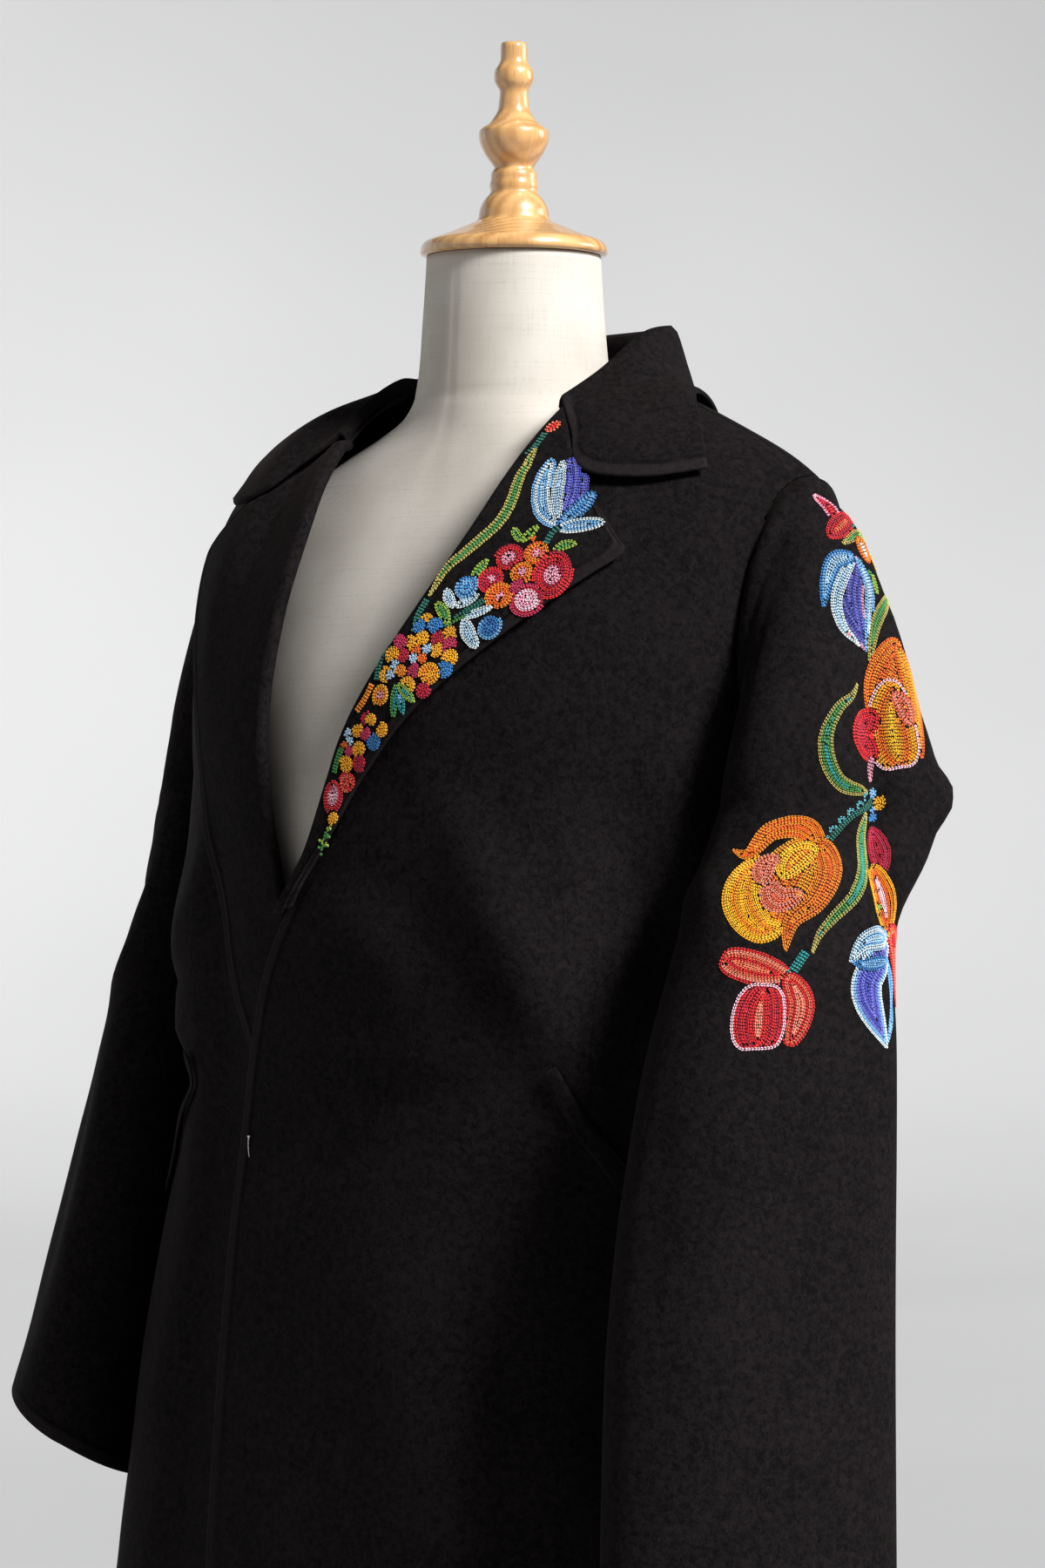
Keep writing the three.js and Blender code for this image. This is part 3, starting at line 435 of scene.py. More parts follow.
def collar_side(turn, side):
    """Control points of the collar's sections: up the stand, round the fold and down the fall."""
    ends = COLLAR_ENDS[side]
    start_place = front_place(ends["foldX"], ends["foldZ"])
    start, fold = on_body(*start_place), on_body(*start_place, 2 * ROLL_RADIUS)
    notch = on_body(*front_place(ends["notchX"], ends["notchZ"]))
    point = on_body(*front_place(ends["pointX"], ends["pointZ"]))
    last = dict(turn=COLLAR_LAST_TURN, footX=side * start[0] - 3, footY=start[1] + 1,
                foldX=side * fold[0], foldY=fold[1], foldZ=fold[2] + 2, drop=0,
                restX=side * notch[0], restY=notch[1], edgeX=side * point[0], edgeY=point[1])
    rows = {name: np.append(column, last[name]) for name, column in COLLAR.items()}
    value = lambda name: read(rows, "turn", turn, name)
    lift = 2 * ROLL_RADIUS + 0.6
    drop = 0 if side > 0 else value("drop")
    top = np.stack([side * value("foldX"), value("foldY"), value("foldZ") - drop], -1)
    beneath = body_point(*plan_place(top[:, 0], top[:, 1]))[:, 2]
    top[:, 2] = np.maximum(top[:, 2], beneath + 2 * ROLL_RADIUS + CLEARANCE)
    foot = on_body(*plan_place(side * value("footX"), value("footY")), CLOTH)
    rest = on_body(*plan_place(side * value("restX"), value("restY")), lift)
    reach = np.where((side > 0) | (turn > COLLAR_LAST_TURN - 0.01), 1, RIGHT_FALL)
    edge = on_body(*plan_place(side * reach * value("edgeX"), value("edgeY")), lift - 0.6)
    middle = on_body(*plan_place((rest[:, 0] + edge[:, 0]) / 2, (rest[:, 1] + edge[:, 1]) / 2), lift)
    inward = unit(-top * [1, 1, 0])
    stand = top + inward * 2 * ROLL_RADIUS
    stand[:, 2] = np.maximum(top[:, 2] - ROLL_RADIUS, foot[:, 2] + 1)
    crest = top + inward * ROLL_RADIUS + [0, 0, ROLL_RADIUS]
    shoulder = mix(top + unit(rest - top) * 4, rest, 0.4)
    return np.stack([foot, mix(foot, stand, 0.5), stand, crest, top, shoulder, rest, middle, edge], 1)


def collar_grid(step):
    """From the right gorge round the back of the neck to the left one."""
    turn = COLLAR_LAST_TURN * (1 - stations(330, step, True, False))
    right = collar_side(turn, -1)
    left = collar_side(turn[::-1][1:], 1)
    return spline(np.concatenate([right, left]), stations(125, step))


def armhole_loop(side, count):
    """The armhole's edge and normals, from the shoulder tip down the front, under the arm and up the back."""
    half = 400
    once = np.linspace(0, 1, half, endpoint=False)
    down = np.concatenate([once, 1 - once])
    front = np.arange(2 * half) < half
    climb = SHOULDER_CLIMB * (1 - down)
    before, behind = (read(ARMHOLE, "climb", climb, column) for column in ("front", "back"))
    angle = np.radians(np.where(front, before, behind))
    places = side * np.where(front, angle, np.pi - angle), UNDERARM + climb
    points = np.concatenate([on_body(*places), body_normal(*places)], 1)
    points = np.concatenate([points, points[:1]])
    run = lengths_along(points[:, :3])
    at = np.linspace(0, run[-1], count, endpoint=False)
    loop = np.stack([np.interp(at, run, points[:, k]) for k in range(6)], -1)
    return loop[:, :3], unit(loop[:, 3:])


def sleeve_rings(rows, side, heights, count):
    """Flattened rings round the arm's centre line, turned so that the wide way runs back and out."""
    value = lambda name: read(rows, "height", heights, name)[:, None]
    turned = np.radians(value("turn"))
    long = np.stack([side * np.cos(turned), np.sin(turned), 0 * turned], -1)
    outward = np.stack([side * np.sin(turned), -np.cos(turned), 0 * turned], -1)
    centre = np.stack([side * value("x"), value("y"), heights[:, None]], -1)
    turn = (np.arange(count) / count * 2 * np.pi)[None, :]
    wide = (value("wide") * signed_power(-np.sin(turn), 0.92))[..., None]
    thick = (value("thick") * signed_power(np.cos(turn), 0.92))[..., None]
    rings = centre + long * wide + outward * thick
    rings[..., 2] += value("rise") * np.cos(turn)
    return rings


def sleeve_grid(rows, side, flap, count, step):
    """Rows from under the armhole's edge over the sleeve cap to the biceps, then ring by ring to the cuff."""
    loop, outwards = armhole_loop(side, count)
    hole = loop.mean(0)
    biceps_height, cuff = rows["height"][-1], rows["height"][0]
    biceps = sleeve_rings(rows, side, np.array([biceps_height]), count)[0]
    inwards = unit((hole - loop) * [0, 1, 1])
    start = loop + inwards * 1.6 + np.array([side * 1.6, 0, 0])
    high = np.clip((start[:, 2] - biceps[:, 2]) / 190, 0, 1)[:, None]
    sideways = biceps[:, 1:2] - start[:, 1:2]
    reach = side * mix(26, 95 if flap else 55, high)
    leave = np.concatenate([reach, sideways * 0.8, -mix(4, 70, high)], 1)
    arrive = np.concatenate([0 * high, sideways * 0.2, -mix(16, 190, high)], 1)
    t = stations(190, step, True, False)[:-1, None, None]
    cap = hermite(t, start, leave, biceps, arrive)
    heights = biceps_height - (biceps_height - cuff) * stations(biceps_height - cuff, step, False, True)
    grid = np.concatenate([cap, sleeve_rings(rows, side, heights, count)])
    if flap:
        grid = grid + flap_reach(grid)
    normals = unit(np.cross(np.roll(grid, -1, 1) - np.roll(grid, 1, 1), np.gradient(grid, axis=0)))
    normals = normals * np.sign((normals * (grid - grid.mean(1, keepdims=True)) * [1, 1, 0]).sum())
    turn = np.broadcast_to(np.arange(count) / count * 360, grid.shape[:2])
    small = creases(LEFT_CREASES if flap else RIGHT_CREASES, turn, grid[..., 2], ARM_REACH)
    down = np.linalg.norm(grid - grid[:1], axis=-1)
    head = 2.6 * bell(down, 8.5, 5.5) * ramp(0.1, 0.5, high[:, 0]) - 1.6 * bell(down, 19, 6)
    grid = grid + normals * (small * ramp(2, 16, down) + head)[..., None]
    allowance = ((3.4, 3.4), (1.8, 3.3), (0.4, 2.7))
    tucked = [loop - inwards * reach - outwards * depth for reach, depth in allowance]
    return np.concatenate([np.array(tucked), grid])


def flap_reach(grid):
    """The fold that stands out behind the upper arm: bells round it, sharp below and long above."""
    long = np.array([np.cos(FLAP_TURN), np.sin(FLAP_TURN), 0])
    arm = unit((grid - grid.mean(1, keepdims=True)) * [1, 1, 0])
    away = np.degrees(np.arccos(np.clip((arm * long).sum(-1), -1, 1)))
    total = np.zeros(away.shape)
    for height, above, below, reach, spread in zip(*FLAP.values()):
        up = grid[..., 2] - height
        rise = np.where(up > 0, bell(up, 0, above), np.exp(-((up / below) ** 4)))
        total += reach * rise * bell(away, 0, spread)
    down = np.linalg.norm(grid - grid[:1], axis=-1)
    return (total * ramp(0, 45, down))[..., None] * long


# Creases of the body: rise and half width, then places (degrees round the body, height) along the crease.
CREASES = (
    (5.2, 15, (14, 1176), (22, 1130), (31, 1075), (37, 1020), (42, 982)),
    (-6.4, 22, (62, 1190), (57, 1165), (50, 1130), (47, 1075), (45, 1010)),
    (-2.8, 11, (4, 1118), (14, 1088), (22, 1040)),
    (2.8, 11, (-2, 1096), (9, 1058), (14, 1010)),
    (1.6, 12, (-18, 992), (8, 1000), (36, 1004)),
    (-1.7, 10, (-14, 962), (8, 972), (28, 988)),
    (-1.5, 9, (-16, 930), (2, 946), (17, 952)),
    (2.4, 13, (74, 1150), (68, 1105), (62, 1040)),
    (3.0, 17, (66, 905), (70, 800), (75, 690)),
    (-2.4, 16, (24, 900), (30, 800), (33, 690)),
    (-3.4, 8, (-40, 1052), (-50, 1034), (-59, 1022)),
    (2.8, 10, (-38, 1018), (-48, 1006), (-60, 992)),
    (-2.4, 9, (-34, 984), (-48, 972), (-62, 958)),
    (2.4, 14, (-30, 1130), (-40, 1090), (-46, 1040)),
    (-2.6, 16, (-40, 900), (-46, 800), (-50, 690)),
    (-3.4, 13, (146, 1012), (170, 996), (186, 990), (208, 996)),
    (2.6, 12, (154, 972), (180, 958), (206, 962)),
    (-2.4, 10, (160, 938), (182, 930), (204, 936)),
    (2.6, 12, (112, 1020), (130, 1000), (150, 984)),
    (-2.6, 10, (108, 990), (124, 978), (142, 958)),
    (2.6, 13, (-152, 1010), (-132, 996), (-112, 976)),
    (-2.4, 10, (-146, 980), (-130, 966), (-114, 944)),
    (3.2, 15, (110, 1190), (124, 1140), (134, 1080)),
    (-2.8, 13, (122, 1200), (134, 1150), (142, 1090)),
    (2.8, 15, (-112, 1186), (-124, 1140), (-132, 1084)),
    (-2.6, 13, (-124, 1196), (-136, 1150), (-144, 1096)),
    (3.0, 18, (166, 850), (162, 700), (158, 545)),
    (3.0, 20, (-166, 850), (-163, 700), (-160, 545)),
)
# Creases of the sleeves: rise and half width, then places (degrees round the arm, height).
LEFT_CREASES = (
    (-6.5, 8, (352, 1256), (350, 1220), (348, 1176), (342, 1120), (322, 1088), (307, 1072), (296, 1034)),
    (3.4, 11, (335, 1250), (330, 1205), (326, 1168), (318, 1120)),
    (-3.2, 9, (333, 1178), (325, 1160), (314, 1150)),
    (3.0, 12, (20, 1240), (16, 1180), (4, 1110), (344, 1060)),
    (-3.0, 10, (16, 1314), (44, 1278), (79, 1232), (84, 1200)),
    (-2.2, 12, (78, 1150), (60, 1118), (30, 1090)),
    (2.4, 12, (88, 1120), (66, 1084), (40, 1052)),
    (-2.0, 14, (70, 1010), (62, 930), (58, 840)),
    (2.6, 16, (20, 1010), (24, 900), (28, 780)),
    (-2.6, 16, (330, 990), (336, 900), (340, 780)),
    (-4.0, 11, (200, 1150), (230, 1118), (262, 1100)),
    (3.4, 12, (190, 1090), (225, 1064), (262, 1040)),
    (-3.0, 12, (180, 1040), (215, 1010), (250, 990)),
    (2.4, 15, (230, 960), (224, 860), (222, 760)),
)
RIGHT_CREASES = (
    (-3.6, 9, (56, 1190), (40, 1168), (16, 1150)),
    (3.2, 11, (66, 1160), (44, 1134), (14, 1112)),
    (-3.4, 10, (74, 1112), (50, 1088), (20, 1068)),
    (2.6, 12, (80, 1062), (52, 1040), (24, 1024)),
    (-2.4, 15, (46, 1000), (40, 900), (36, 800)),
    (2.6, 16, (16, 990), (12, 890), (10, 790)),
    (-3.8, 12, (340, 1180), (322, 1120), (300, 1060)),
    (3.2, 12, (322, 1190), (300, 1140), (280, 1090)),
    (-3.4, 12, (210, 1130), (240, 1100), (270, 1086)),
    (2.6, 14, (236, 960), (230, 880), (228, 790)),
)


def creases(lines, turn, height, reach):
    """Sum of soft ridges and troughs along bent lines; a turn is in degrees on a radius of reach."""
    total = np.zeros(np.broadcast(turn, height).shape)
    for rise, spread, *places in lines:
        places = np.array(places, float) * [np.radians(reach), 1]
        pieces = np.hypot(*np.diff(places, axis=0).T)
        before = np.concatenate([[0], np.cumsum(pieces)])
        nearest, run = np.full(total.shape, 1e9), np.zeros(total.shape)
        for (ax, az), (bx, bz), piece, start in zip(places, places[1:], pieces, before):
            x = (turn - ax / np.radians(reach) + 180) % 360 - 180
            x, z = x * np.radians(reach), height - az
            part = np.clip((x * (bx - ax) + z * (bz - az)) / piece**2, 0, 1)
            away = np.hypot(x - part * (bx - ax), z - part * (bz - az))
            run = np.where(away < nearest, start + part * piece, run)
            nearest = np.minimum(nearest, away)
        run = run / before[-1]
        fade = 0.25 + 0.75 * ramp(0, 0.3, run) * ramp(0, 0.4, 1 - run)
        total += rise * bell(nearest, 0, spread) * fade
    return total


# ---- Flat charts of the two embroidered surfaces: millimetres across and down, laid back on the cloth ----
def sample_lines(lines, at, places):
    """Each line of points read at the same places; at is the place of every point along its own line."""
    out = np.empty((len(lines), len(places), 3))
    for row, line, where in zip(out, lines, at):
        for k in range(3):
            row[:, k] = np.interp(places, where, line[:, k])
    return out


def chart(grid, zero_column, low, high, step=1.5):
    """A grid unrolled: columns a step apart along each row from its zero column, rows a step apart down."""
    across = lengths_along(grid, 1)
    across = across - across[:, zero_column][:, None]
    places = np.arange(low, high + step, step)
    even = sample_lines(grid, across, places)
    near = np.abs(places) < 70
    drop = np.linalg.norm(np.diff(even[:, near], axis=0), axis=-1).mean(1)
    down = np.concatenate([[0], np.cumsum(drop)])
    rows = np.arange(0, down[-1], step)
    turned = even.transpose(1, 0, 2)
    levels = np.broadcast_to(down, (len(turned), len(down)))
    points = sample_lines(turned, levels, rows).transpose(1, 0, 2)
    normals = unit(np.cross(np.gradient(points, axis=1), np.gradient(points, axis=0)))
    return dict(points=points, normals=normals, low=low, step=step)


def lay(sheet, flat):
    """Places and normals on the cloth of flat places (across, down)."""
    rows, columns = sheet["points"].shape[:2]
    j = np.clip((flat[:, 0] - sheet["low"]) / sheet["step"], 0, columns - 1.001)
    i = np.clip(flat[:, 1] / sheet["step"], 0, rows - 1.001)
    i0, j0 = i.astype(int), j.astype(int)
    a, b = (i - i0)[:, None], (j - j0)[:, None]
    row_at = lambda g, i: mix(g[i, j0], g[i, j0 + 1], b)
    read_grid = lambda g: mix(row_at(g, i0), row_at(g, i0 + 1), a)
    return read_grid(sheet["points"]), unit(read_grid(sheet["normals"]))


def sleeve_chart():
    """The left sleeve's outer skin; across runs from its outer face to the front, down from the armhole."""
    grid = sleeve_grid(LEFT_SLEEVE, 1, True, 264, 4)[3:]
    columns = grid.shape[1]
    middle = np.concatenate([np.roll(grid, columns // 2, 1), grid[:, columns // 2: columns // 2 + 1]], 1)
    sheet = chart(middle[:, ::-1], columns // 2, -190, 190)
    sheet["normals"] = -sheet["normals"]
    return turned_out(sheet)


def turned_out(sheet):
    """The chart moved out by half the cloth, with across growing towards the wearer's centre."""
    middle = sheet["points"].reshape(-1, 3).mean(0)
    outward = ((sheet["points"] - middle) * sheet["normals"] * [1, 1, 0]).sum(-1).mean()
    sheet["normals"] = sheet["normals"] * np.sign(outward)
    sheet["points"] = sheet["points"] + sheet["normals"] * CLOTH / 2
    return sheet


def lapel_chart():
    """The left lapel's outer skin; across runs to the wearer's left, down from the shoulder."""
    across = np.arange(-60, 200, 2.0)
    heights = np.arange(1372, 1062, -2.0)
    index = np.linspace(0, len(LEFT_LAPEL["roll"]) - 1, 300)
    *_, foot, normal, away = roll_line(LEFT_EDGE, LEFT_LAPEL, index, no_sink)
    crest = foot + normal * ROLL_RADIUS + away * (CLEARANCE + ROLL_RADIUS)
    x, z = np.meshgrid(across, heights)
    base = on_body(*front_place(x, z))
    normals = body_normal(*front_place(x, z))
    gap = np.linalg.norm(base[:, :, None] - crest[None, None], axis=-1)
    nearest = gap.argmin(-1)
    inside = ((base - crest[nearest]) * -away[nearest]).sum(-1)
    part = np.clip(1 - inside / ROLL_RADIUS, 0, 1)
    lift = ROLL_RADIUS * (1 + np.sqrt(1 - part**2)) - 0.8 * np.clip(inside / 80, 0, 1)
    return turned_out(chart(base + normals * lift[..., None], 30, -60, 260))


# ---- Meshes and cloth ----
EDGE_ROUND = 2.0
EDGE_WORK = 14
# Painted edge light on sewn edges: the width in millimetres of a painted highlight band, and how far in a
# line of painted groove shade runs.
PAINTED_HIGHLIGHT_BAND = 8.6
PAINTED_SHADE_LINE = 9.6


def make_mesh(name, points, faces, **colours):
    """A smooth mesh object from points in millimetres, faces of one size, and named colours of its points."""
    mesh = bpy.data.meshes.new(name)
    points = np.asarray(points, float).reshape(-1, 3) * MM
    faces = np.asarray(faces, int)
    size = faces.shape[1]
    mesh.vertices.add(len(points))
    mesh.vertices.foreach_set("co", points.ravel())
    mesh.loops.add(faces.size)
    mesh.loops.foreach_set("vertex_index", faces.ravel())
    mesh.polygons.add(len(faces))
    mesh.polygons.foreach_set("loop_start", np.arange(0, faces.size, size))
    mesh.polygons.foreach_set("loop_total", np.full(len(faces), size))
    mesh.polygons.foreach_set("use_smooth", np.ones(len(faces), bool))
    for key, values in colours.items():
        layer = mesh.attributes.new(key, "FLOAT_COLOR", "POINT")
        layer.data.foreach_set("color", values.ravel())
    mesh.update(calc_edges=True)
    mesh.validate()
    made = bpy.data.objects.new(name, mesh)
    bpy.context.scene.collection.objects.link(made)
    return made


def finish_piece(made, material, node=None):
    """Sets a piece on the body, in place of its node where it has one, with its finish."""
    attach(made, "root")
    if node:
        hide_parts(node)
    made.data.materials.append(material)


def grid_normals(grid, closed=False):
    """Normals of a grid of points; a closed grid's columns go all the way round."""
    if closed:
        along = np.roll(grid, -1, 1) - np.roll(grid, 1, 1)
    else:
        along = np.gradient(grid, axis=1)
    return unit(np.cross(along, np.gradient(grid, axis=0)))


def quads(rows, columns, closed=False, flip=False):
    """Faces of a grid, row by row."""
    spans = columns if closed else columns - 1
    i, j = np.meshgrid(np.arange(rows - 1), np.arange(spans), indexing="ij")
    i, j = i.ravel(), j.ravel()
    k = (j + 1) % columns
    low, high = i * columns, (i + 1) * columns
    faces = np.stack([low + j, low + k, high + k, high + j], 1)
    return faces[:, ::-1] if flip else faces


def rounded_edge(distance, half):
    """Half the cloth's thickness at a distance from a free edge, rounded over."""
    return half * np.sqrt(np.clip(1 - (1 - np.clip(distance / EDGE_ROUND, 0, 1)) ** 2, 0, 1))


def stitched_edge(distance):
    """What a sewn edge adds to the outer skin: a sunk groove, then a low crest."""
    return -0.6 * bell(distance, 4.6, 1.4) + 0.55 * bell(distance, 7.2, 1.3)


def cloth(name, node, grid, thickness, closed=False, ridged=""):
    """A closed shell round a middle surface. Skins meet at every border; ridged names the sewn ones, which
    get a groove and a crest and, in their point colours, a painted highlight band and a line of painted
    groove shade.
    """
    rows, columns = grid.shape[:2]
    normals = grid_normals(grid, closed)
    down = lengths_along(grid)
    borders = {"bottom": down, "top": down[-1:] - down}
    if not closed:
        over = lengths_along(grid, 1)
        borders.update(first=over, last=over[:, -1:] - over)
    half = np.full((rows, columns), thickness / 2)
    ridge = np.zeros((rows, columns))
    worked = np.zeros((rows, columns, 4))
    for border, distance in borders.items():
        half = np.minimum(half, rounded_edge(distance, thickness / 2))
        if border in ridged.split():
            ridge = ridge + stitched_edge(distance) * (distance < EDGE_WORK)
            # Channel 0: a painted highlight band along the edge.
            worked[..., 0] = np.maximum(worked[..., 0], np.clip((PAINTED_HIGHLIGHT_BAND - distance) / 1.8, 0, 1))
            # Channel 1: a line of painted groove shade in from the edge.
            worked[..., 1] = np.maximum(worked[..., 1], bell(distance, PAINTED_SHADE_LINE, 1.2))
    half = np.maximum(half, 0)
    outer = grid + normals * (half + ridge * (half > thickness * 0.3))[..., None]
    inner = grid - normals * half[..., None]
    size = rows * columns
    faces = [quads(rows, columns, closed), quads(rows, columns, closed, flip=True) + size]
    points = np.concatenate([outer.reshape(-1, 3), inner.reshape(-1, 3)])
    index = np.arange(2 * size)
    rim = np.zeros((rows, columns), bool)
    rim[0] = rim[-1] = True
    if not closed:
        rim[:, 0] = rim[:, -1] = True
    rim = rim.ravel()
    index[size:][rim] = index[:size][rim]
    used, compact = np.unique(index, return_inverse=True)
    worked = np.concatenate([worked.reshape(-1, 4)] * 2)[used]
    made = make_mesh(name, points[used], compact[np.concatenate(faces)], worked=worked)
    finish_piece(made, WOOL, node)


# ---- Shader helpers ----
class Socket:
    """A value in a node tree that takes ordinary sums."""

    def __init__(self, tree, socket):
        self.tree, self.socket = tree, socket

    def _math(self, operation, *others):
        return self.tree.math(operation, self, *others)

    def __add__(self, other): return self._math("ADD", other)
    def __radd__(self, other): return self._math("ADD", other)
    def __sub__(self, other): return self._math("SUBTRACT", other)
    def __rsub__(self, other): return self.tree.math("SUBTRACT", other, self)
    def __mul__(self, other): return self._math("MULTIPLY", other)
    def __rmul__(self, other): return self._math("MULTIPLY", other)
    def __pow__(self, other): return self._math("POWER", other)
    def sine(self): return self._math("SINE")


class Look:
    """One material: a Principled shader and the nodes that feed it."""

    def __init__(self, name, **constants):
        self.material = bpy.data.materials.new(name)
        self.material.use_nodes = True
        self.nodes_tree = self.material.node_tree
        self.shader = self.nodes_tree.nodes["Principled BSDF"]
        for key, value in constants.items():
            self.shader.inputs[key.replace("_", " ")].default_value = value

    def node(self, kind, settings=None, **inputs):
        made = self.nodes_tree.nodes.new(kind)
        for key, value in (settings or {}).items():
            setattr(made, key, value)
        for key, value in inputs.items():
            self.set(made.inputs[key.replace("_", " ")], value)
        return made

    def set(self, target, value):
        if isinstance(value, Socket):
            self.nodes_tree.links.new(value.socket, target)
        else:
            target.default_value = value

    def math(self, operation, *values):
        made = self.node("ShaderNodeMath", {"operation": operation})
        for target, value in zip(made.inputs, values):
            self.set(target, value)
        return Socket(self, made.outputs[0])

    def place(self, scale=(1, 1, 1)):
        """Object coordinates in metres, stretched by a scale."""
        coordinates = self.node("ShaderNodeTexCoord").outputs["Object"]
        mapping = self.node("ShaderNodeMapping", Vector=Socket(self, coordinates), Scale=scale)
        return Socket(self, mapping.outputs[0])

    def attribute(self, name, output):
        """The named colour of a piece's points."""
        return Socket(self, self.node("ShaderNodeAttribute", {"attribute_name": name}).outputs[output])

    def waves(self, value, pitch):
        """A sine along a value, one wave for each pitch in metres."""
        return (value * (2 * math.pi / pitch)).sine()

    def parts(self, vector):
        made = self.node("ShaderNodeSeparateXYZ", Vector=vector)
        return [Socket(self, output) for output in made.outputs]

    def noise(self, vector, scale, detail=2.0, roughness=0.5, distortion=0.0):
        made = self.node("ShaderNodeTexNoise", Vector=vector, Scale=scale, Detail=detail,
                         Roughness=roughness, Distortion=distortion)
        return Socket(self, made.outputs[0])

    def cells(self, vector, scale):
        made = self.node("ShaderNodeTexVoronoi", Vector=vector, Scale=scale)
        return Socket(self, made.outputs["Distance"])

    def fit(self, value, low, high, to_low=0.0, to_high=1.0):
        made = self.node("ShaderNodeMapRange", {"interpolation_type": "SMOOTHSTEP"}, Value=value)
        for key, number in (("From Min", low), ("From Max", high), ("To Min", to_low), ("To Max", to_high)):
            made.inputs[key].default_value = number
        return Socket(self, made.outputs[0])

    def blend(self, factor, first, second):
        made = self.node("ShaderNodeMix", {"data_type": "RGBA"})
        self.set(made.inputs[0], factor)
        for target, value in zip(made.inputs[6:8], (first, second)):
            self.set(target, value if isinstance(value, Socket) else (*value, 1))
        return Socket(self, made.outputs[2])

    def bump(self, height, strength, distance, normal=None):
        made = self.node("ShaderNodeBump", Height=height, Strength=strength, Distance=distance)
        if normal is not None:
            self.set(made.inputs["Normal"], normal)
        return Socket(self, made.outputs[0])

    def feed(self, **values):
        for key, value in values.items():
            self.set(self.shader.inputs[key.replace("_", " ")], value)


LINEN_PITCH = 0.00062
GROWTH_RING = 0.0062


def wool_look():
    """Fulled black-brown melton: a matted nap of short fibres, pale flecks, uneven felting, a soft sheen."""
    look = Look("melton_wool", Specular_IOR_Level=0.035, Sheen_Weight=0.02, Sheen_Roughness=0.3,
                Sheen_Tint=(0.9, 0.66, 0.56, 1))
    place = look.place()
    felt = look.noise(place, 260, 4, 0.65, 0.6)
    nap = look.noise(look.place((1, 1, 0.45)), 1500, 3, 0.6, 0.8)
    cloud = look.noise(place, 22, 3, 0.55)
    fibre = look.noise(look.place((1, 1, 0.3)), 2600, 1, 0.5, 2.0)
    fleck = look.fit(fibre, 0.66, 0.74)
    lint = look.fit(look.cells(place, 190), 0.07, 0.03) * look.fit(look.noise(place, 60), 0.5, 0.62)
    matted = look.fit(felt * 0.5 + nap * 0.38 + cloud * 0.12, 0.38, 0.62)
    ground = look.blend(matted, (0.0026, 0.0021, 0.0023), (0.0108, 0.0088, 0.0093))
    ground = look.blend(fleck * 0.35, ground, (0.060, 0.048, 0.044))
    ground = look.blend(lint * 0.25, ground, (0.15, 0.13, 0.12))
    # Painted light on sewn edges, from the pieces' point colours: a lighter band is a painted highlight, and
    # a near-black line further in is painted groove shade.
    painted_edge_highlight, painted_groove_shade, _ = look.parts(look.attribute("worked", "Vector"))
    ground = look.blend(painted_edge_highlight * 0.3, ground, (0.026, 0.0215, 0.0225))
    # Painted groove shade: darkens the wool along a line in from the edge.
    ground = look.blend(painted_groove_shade * 0.75, ground, (0.0012, 0.0010, 0.0010))
    look.feed(Base_Color=ground, Roughness=look.fit(nap, 0.3, 0.7, 0.74, 0.92))
    rough = look.bump(felt, 0.55, 0.0009)
    look.feed(Normal=look.bump(nap * 0.7 + fibre * 0.3, 0.6, 0.0004, rough))
    return look.material


def linen_look():
    """Cream linen stretched over the form: plain weave with slubs both ways and grey neps."""
    look = Look("linen", Specular_IOR_Level=0.25, Sheen_Weight=0.12, Sheen_Roughness=0.5)
    place = look.place()
    x, y, z = look.parts(place)
    around = look.math("ARCTAN2", y, x) * 0.075
    weft, warp = look.waves(z, LINEN_PITCH), look.waves(around, LINEN_PITCH)
    slub_across = look.noise(look.place((18, 18, 900)), 1.0, 2, 0.6)
    slub_up = look.noise(look.place((700, 700, 14)), 1.0, 2, 0.6)
    cloud = look.noise(place, 14, 3, 0.5)
    nep = look.fit(look.cells(look.place((1, 1, 1.6)), 120), 0.10, 0.03)
    nep = nep * look.fit(look.noise(place, 45), 0.48, 0.6)
    ground = look.blend(look.fit(cloud, 0.3, 0.7), (0.51, 0.465, 0.405), (0.60, 0.558, 0.50))
    slub = look.fit(slub_across * 0.5 + slub_up * 0.5, 0.5, 0.68)
    ground = look.blend(slub * 0.35, ground, (0.40, 0.36, 0.31))
    ground = look.blend(nep * 0.6, ground, (0.30, 0.285, 0.27))
    look.feed(Base_Color=ground, Roughness=look.fit(slub_across, 0.3, 0.7, 0.72, 0.9))
    weave = look.bump(weft * warp * 0.5 + slub_across * 0.8 + slub_up * 0.6, 0.35, 0.0003)
    look.feed(Normal=weave)
    return look.material


def wood_look():
    """Honey-varnished turned wood: growth rings that run up the billet, fine pores and a glossy coat."""
    look = Look("varnished_wood", Specular_IOR_Level=0.5, Coat_Weight=0.9, Coat_Roughness=0.07)
    x, y, _ = look.parts(look.place())
    drift = look.noise(look.place((1, 1, 0.35)), 16, 3, 0.5)
    out = ((x + 0.07) * (x + 0.07) + (y - 0.04) * (y - 0.04)) ** 0.5
    rings = look.waves(out + drift * 0.02, GROWTH_RING)
    streak = look.noise(look.place((1, 1, 0.08)), 420, 3, 0.6)
    bands = look.fit(rings * 0.5 + streak * 1.6, 0.2, 1.5)
    pores = look.fit(look.noise(look.place((1, 1, 0.04)), 1500, 1, 0.5), 0.62, 0.74)
    tint = look.fit(look.noise(look.place((1, 1, 0.5)), 24, 2), 0.35, 0.65)
    ground = look.blend(bands, (0.66, 0.37, 0.145), (0.45, 0.215, 0.07))
    ground = look.blend(tint * 0.4, ground, (0.72, 0.44, 0.19))
    ground = look.blend(pores * 0.35, ground, (0.22, 0.09, 0.03))
    look.feed(Base_Color=ground, Roughness=look.fit(streak, 0.3, 0.7, 0.38, 0.26))
    look.feed(Normal=look.bump(streak * 0.4 + pores, 0.1, 0.0002))
    return look.material


WOOL = wool_look()

